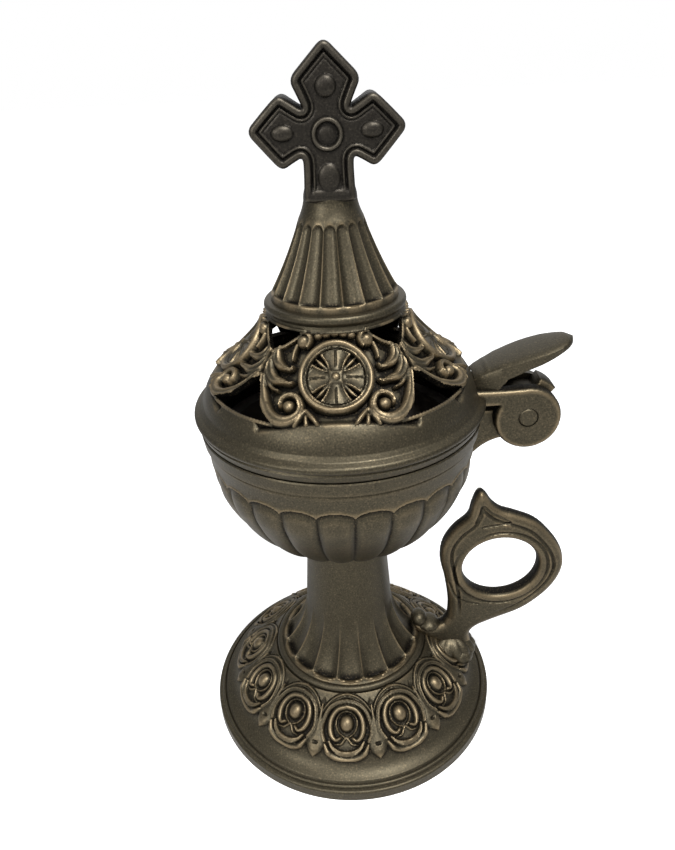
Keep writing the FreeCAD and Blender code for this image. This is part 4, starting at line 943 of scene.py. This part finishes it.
def lug_part():
    """Lug from the bowl's wall with the hinge's knuckle and its stop nose."""
    knuckle, nose, half_width = 6.3, 9.0, 2.9

    def around(radius, first, last, count):
        return [(HINGE[0] + radius * math.cos(math.radians(angle)),
                 HINGE[2] + radius * math.sin(math.radians(angle)))
                for angle in np.linspace(first, last, count)]

    lug_top = RIM - 0.6
    under = outline([(32.6, 79.2), (35.6, 81.7, 39.6, 83.1), (44.3, 83.7)], 0.6)
    edge = inside_outline([(30.3, 78.2)] + [tuple(p) for p in under] + around(knuckle, -90, 36, 30)
                          + around(nose, 40, 70, 10) + around(knuckle, 74, 171, 24)
                          + [(32.2, lug_top), (32.2, 85.0), (30.7, 80.5)])

    def from_pin(x, z):
        return np.hypot(x - HINGE[0], z - HINGE[2]) - PIN_RADIUS - 0.05

    return plate(lambda x, z: np.minimum(edge(x, z), from_pin(x, z)), (29, 75), (54, 100), 0.3,
                 lambda x, z: rounded_edge(np.maximum(edge(x, z), 0), half_width, 0.5))


# Spire and cross

SPIRE_FLUTES = 18
SPIRE_RIDGE = 16.7


def add_spire():
    """Fluted cone that stands on the lid's collar."""
    radius, seat = SPIRE_HIGH[0], LID_TOP
    bottom = outline([(0, seat + 11.0), (2.0, seat + 11.0), (2.0, SPIRE_LOW[2]),
                      (6.0, SPIRE_LOW[2]), (6.0, seat), (radius, seat), (radius, seat + 1.0)], 1.2)
    side = outline([bottom[-1], (radius - 0.4, seat + 2.0),
                    (9.95, seat + 9.6, 6.9, seat + 17.2)], 0.25)[1:]
    neck = outline([side[-1], (6.15, seat + 18.9, 5.7, SPIRE_TOP)], 0.4)[1:]
    top = outline([neck[-1], (3.0, SPIRE_TOP), (3.0, SPIRE_TOP - 5.0), (0, SPIRE_TOP - 5.0)],
                  1.2)[1:]
    profile = np.vstack([bottom, side, neck, top])
    columns = 720
    angle = np.arange(columns) * TURN / columns
    share = from_middle(angle, SPIRE_RIDGE, SPIRE_FLUTES)
    height = profile[:, 1:] - seat
    side_rows = ((np.arange(len(profile)) >= len(bottom))
                 & (np.arange(len(profile)) < len(bottom) + len(side)))[:, None]
    top_line = 16.8 - 1.7 * rounding(share)
    depth = np.interp(height, (1.7, 16.5), (1.3, 0.6))
    reach = smooth(1.5, 1.9, height) * smooth(0.0, 0.5, top_line - height)
    relief = np.where(side_rows, -depth * (1 - share ** 2.6) * reach, 0.0)
    turned_cone = lathe(profile, columns, relief, hollowness(relief, 5, 0.5))
    make_piece("spire_casting", turned_cone, "lid", "spire")


def add_cross():
    """Flat cross with flared, pointed arms and bosses on both sides."""
    right = [(5.3, 141.2), (5.2, 143.0), (5.0, 147.0), (5.0, 150.1), (6.9, 149.1), (9.4, 147.6),
             (12.4, 151.0), (15.9, 155.1), (12.3, 158.7), (9.2, 161.6), (6.6, 159.9), (4.4, 158.5),
             (5.4, 160.9), (6.9, 164.0), (3.7, 167.2), (0.0, 170.9)]
    left = [(-x, z) for x, z in reversed(right) if x]
    edge = inside_outline(rounded_corners(right + left, 1.9, 6))

    def face(x, z):
        inside = np.maximum(edge(x, z), 0.0)
        relief = np.where(inside < 1.0, 0.0, bead(inside - 1.0, 0.6, 1.0) - 1.0)
        relief = np.maximum(relief, bead(inside - 2.1, 0.4, 0.6) - 1.0)
        relief = np.where(inside > 2.1, np.maximum(relief, -1.0 + 0.4 * smooth(2.1, 2.9, inside)),
                          relief)
        a = np.abs(x)
        relief = np.maximum(relief, ball(a, z, (0, 162.6), 2.1, 2.1, 1.1) - 0.75)
        relief = np.maximum(relief, ball(a, z, (8.75, 154.6), 2.3, 1.6, 1.1) - 0.75)
        relief = np.maximum(relief, ball(a, z, (0, 146.0), 2.3, 2.9, 1.0) - 0.8)
        reach = np.hypot(a, z - 154.1)
        relief = np.where(reach < 3.2, np.maximum(bead(reach - 2.7, 0.6, 0.9) - 0.8,
                                                  ball(a, z, (0, 154.1), 1.7, 1.7, 0.5) - 1.0),
                          relief)
        relief = relief * smooth(142.6, 144.6, z)
        edge_round = 0.9 * (1 - np.sqrt(1 - np.clip(1 - inside / 0.9, 0, 1) ** 2))
        return CROSS_HALF_THICKNESS + relief - edge_round

    flat = plate(edge, (-16.5, 140.5), (16.5, 170.5), 0.16, face)
    foot = outline([(0, SPIRE_TOP), (5.7, SPIRE_TOP), (5.1, 143.9, 3.7, 146.0),
                    (2.4, 147.0, 0, 147.3)], 0.4)
    peg = outline([(0, SPIRE_TOP - 5.0), (3.0, SPIRE_TOP - 5.0), (3.0, SPIRE_TOP + 0.2),
                   (0, SPIRE_TOP + 0.2)], 1.5)
    make_piece("cross_foot", lathe(foot, 96), "lid", "cross")
    # The cross's plate takes the darker copy of the bronze, as painted shade.
    make_piece("cross_casting", joined(flat, lathe(peg, 64)), "lid", "cross", "cross_dark")


# Finger ring

RING_HALF_THICKNESS = 2.5
RING_OUTLINE = curve_through([
    (27.9, 24.0), (28.1, 27.0), (27.9, 31.0), (26.8, 38.0), (25.4, 44.5), (25.9, 50.0),
    (28.6, 54.8), (32.2, 58.4), (33.2, 62.2), (34.2, 65.2), (35.4, 66.2), (36.8, 65.4),
    (38.6, 62.6), (41.2, 60.3), (44.8, 58.9), (50.3, 56.3), (54.4, 52.3), (57.9, 47.0),
    (59.2, 41.5), (57.9, 36.0), (54.4, 30.8), (48.8, 25.9), (41.3, 22.5), (36.4, 20.0),
    (34.6, 17.5), (35.0, 14.6), (35.2, 12.0), (31.0, 11.5), (25.0, 14.5), (20.6, 17.6),
    (18.2, 20.6), (18.8, 22.4), (21.4, 21.4), (24.4, 20.7), (26.8, 21.9)], 4)
HORN_LINE = curve_through([(34.3, 57.2), (35.2, 59.8), (35.9, 62.3), (38.2, 60.2), (41.8, 58.0),
                           (43.4, 56.6), (39.8, 56.2), (36.2, 55.6)])
NECK_LINE = curve_through([(27.9, 37.0), (29.6, 32.6), (32.6, 30.2), (36.2, 29.2)])


def egg(centre, radii, rings=28, columns=48, ribs=0.0, rib_count=0):
    """Rounded lump with ribs that run out from its top."""
    made = []
    around = np.linspace(0, TURN, columns, endpoint=False)
    for polar in np.linspace(0.04, math.pi - 0.04, rings):
        swell = 1 + ribs * np.abs(np.cos(around * rib_count / 2)) * math.sin(polar) ** 2
        made.append(np.stack([centre[0] + radii[0] * math.sin(polar) * np.cos(around) * swell,
                              centre[1] + radii[1] * math.sin(polar) * np.sin(around) * swell,
                              np.full(columns, centre[2] + radii[2] * math.cos(polar))], axis=-1))
    return loft(made)


def add_ring_handle():
    """Finger ring with its horn, its neck, and the leaf and scroll at its root."""
    edge = inside_outline(RING_OUTLINE)

    def from_hole(x, z):
        return (np.hypot((x - 41.9) / 10.4, (z - 41.5) / 9.8) - 1) * 9.9

    def face(x, z):
        inside = np.maximum(edge(x, z), 0)
        outside_hole = np.maximum(from_hole(x, z), 0)
        half = rounded_edge(inside, RING_HALF_THICKNESS, 2.1)
        half = half - 1.5 * (1 - np.sqrt(1 - np.clip(1 - outside_hole / 1.5, 0, 1) ** 2))
        half = half - bead(inside - 2.9, 0.45, 0.45) * smooth(24.0, 30.0, z)
        upper_left = smooth(40.0, 34.0, x) * smooth(42.0, 50.0, z)
        half = half - bead(outside_hole - 2.3, 0.4, 0.4) * (1 - upper_left)
        half = half - ribbon(x, z, HORN_LINE, (0.35, 0.35), 0.35)
        return half - ribbon(x, z, NECK_LINE, (0.35, 0.25), 0.3)

    flat = plate(lambda x, z: np.minimum(edge(x, z), from_hole(x, z)), (17, 10), (60.5, 68.5),
                 0.22, face)
    leaf = egg((29.0, 0, 11.6), (7.0, 5.6, 5.0), 40, 112, 0.12, 14)
    lobes = [egg((31.5, -side * 3.6, 10.6), (3.6, 2.6, 2.6), ribs=0.1, rib_count=8)
             for side in (-1, 1)]
    scroll = egg((19.8, 0, 23.0), (2.3, 2.9, 2.3))
    curl = egg((22.6, 0, 20.9), (3.0, 3.4, 1.9), ribs=0.08, rib_count=10)
    make_piece("ring_casting", joined(flat, leaf, *lobes, scroll, curl), "stand", "ring_handle")


def add_hinge_pin():
    """Pin whose ends lie flush in the ears."""
    around = np.linspace(0, TURN, 64, endpoint=False)
    radius = PIN_RADIUS - 0.08
    rings = [np.stack([HINGE[0] + share * radius * np.cos(around), np.full(64, y),
                       HINGE[2] + share * radius * np.sin(around)], axis=-1)
             for share, y in ((0.85, PIN_LOW[1]), (1, PIN_LOW[1] + 0.3), (1, PIN_HIGH[1] - 0.3),
                              (0.85, PIN_HIGH[1]))]
    make_piece("pin", loft(rings), "lid", "hinge_pin", "pin_bronze")


add_foot()
add_bowl()
add_lid()
add_thumb_lever()
add_spire()
add_cross()
add_ring_handle()
add_hinge_pin()


# Camera, light and stage

PHOTO_WIDTH_PIXELS = 675.0
FOCAL_LENGTH_PIXELS = 700.0
SENSOR_WIDTH = 36.0
LAMP_AIM = Vector((0, 0, 0.08))


def place_camera():
    """The photograph's viewpoint: 28 degrees down, level turned a little clockwise."""
    pitch, yaw, roll = (math.radians(v) for v in (28.3, 0.32, -2.85))
    axes = (Vector((1, 0, 0)), Vector((0, math.sin(pitch), math.cos(pitch))),
            Vector((0, math.cos(pitch), -math.sin(pitch))))
    right, up, forward = (Matrix.Rotation(yaw, 3, "Z") @ axis for axis in axes)
    level_right = right * math.cos(roll) + up * math.sin(roll)
    level_up = up * math.cos(roll) - right * math.sin(roll)
    data = bpy.data.cameras.new("photo_camera")
    data.sensor_fit = "HORIZONTAL"
    data.sensor_width = SENSOR_WIDTH
    data.lens = FOCAL_LENGTH_PIXELS / PHOTO_WIDTH_PIXELS * SENSOR_WIDTH
    data.clip_start, data.clip_end = 0.01, 20.0
    camera = bpy.data.objects.new("photo_camera", data)
    bpy.context.scene.collection.objects.link(camera)
    matrix = Matrix((level_right, level_up, -forward)).transposed().to_4x4()
    matrix.translation = Vector((0.0, -0.1516, 0.1688))
    camera.matrix_world = matrix
    bpy.context.scene.camera = camera
    bpy.context.scene.view_settings.view_transform = "Standard"


def flat_panel(name, corners, finish):
    """Four-cornered panel of the stage, its corners in metres."""
    mesh = bpy.data.meshes.new(name)
    mesh.from_pydata(corners, [], [(0, 1, 2, 3)])
    mesh.materials.append(finish)
    panel = bpy.data.objects.new(name, mesh)
    bpy.context.scene.collection.objects.link(panel)


def stage_finish(name, paint, roughness, glow, seen):
    """Matt finish that glows in one colour for the camera and in another for all other rays."""
    finish = Finish(bpy.data.materials.new(name))
    to_eye = finish.add("ShaderNodeLightPath", output="Is Camera Ray")
    return finish.shade(Base_Color=paint, Roughness=roughness,
                        Emission_Color=finish.mix(to_eye, glow, seen), Emission_Strength=1.0)


def add_stage():
    """Pale floor, white surroundings, and a dark card on each side of the object, which gives
    the metal its dark edges and which the camera itself sees as white."""
    floor = stage_finish("pale_floor", (0.85, 0.85, 0.85, 1), 0.7, (0, 0, 0, 1),
                         (0.72, 0.72, 0.72, 1))
    half = 3.0
    flat_panel("floor", [(-half, -half, 0), (half, -half, 0), (half, half, 0), (-half, half, 0)],
               floor)
    card = stage_finish("dark_card", (0.01, 0.01, 0.01, 1), 0.9, (0.4, 0.41, 0.42, 1),
                        (1, 1, 1, 1))
    for name, side in (("left_card", -0.3), ("right_card", 0.34)):
        flat_panel(name, [(side, -0.5, 0.001), (side, 0.4, 0.001), (side, 0.4, 0.55),
                          (side, -0.5, 0.55)], card)
    world = bpy.data.worlds.new("white_studio")
    bpy.context.scene.world = world
    surroundings = Finish(world)
    rays = [surroundings.add("ShaderNodeLightPath", output=ray)
            for ray in ("Is Camera Ray", "Is Glossy Ray", "Is Transmission Ray")]
    share = (rays[0] + rays[1] + rays[2]).between(0.0, 1.0)
    light = surroundings.add("ShaderNodeBackground", None, {"Color": (1, 1, 1, 1),
                                                            "Strength": 0.3 + share * 0.7})
    surroundings.add("ShaderNodeOutputWorld", None, {"Surface": light})


def add_lamp(name, place, size, power):
    """Round lamp that is aimed at the middle of the object."""
    data = bpy.data.lights.new(name, "AREA")
    data.shape = "DISK"
    data.size = size
    data.energy = power
    lamp = bpy.data.objects.new(name, data)
    bpy.context.scene.collection.objects.link(lamp)
    lamp.location = Vector(place)
    lamp.rotation_mode = "QUATERNION"
    aim = LAMP_AIM - lamp.location
    lamp.rotation_quaternion = aim.to_track_quat("-Z", "Y")


for node, finish in (("handle_screws", ZINC), ("charcoal_cup", CUP_STEEL), ("stem_screw", ZINC),
                     ("stem_washer", ZINC), ("stem_nut", ZINC), ("lever_screw", ZINC),
                     ("spire_screw", ZINC), ("spire_washer", ZINC)):
    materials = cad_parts[node].data.materials
    materials.clear()
    materials.append(finish)

add_stage()
add_lamp("key_lamp", (0.12, -0.25, 0.6), 0.16, 4.2)
add_lamp("left_lamp", (-0.26, -0.3, 0.3), 0.1, 0.8)
place_camera()
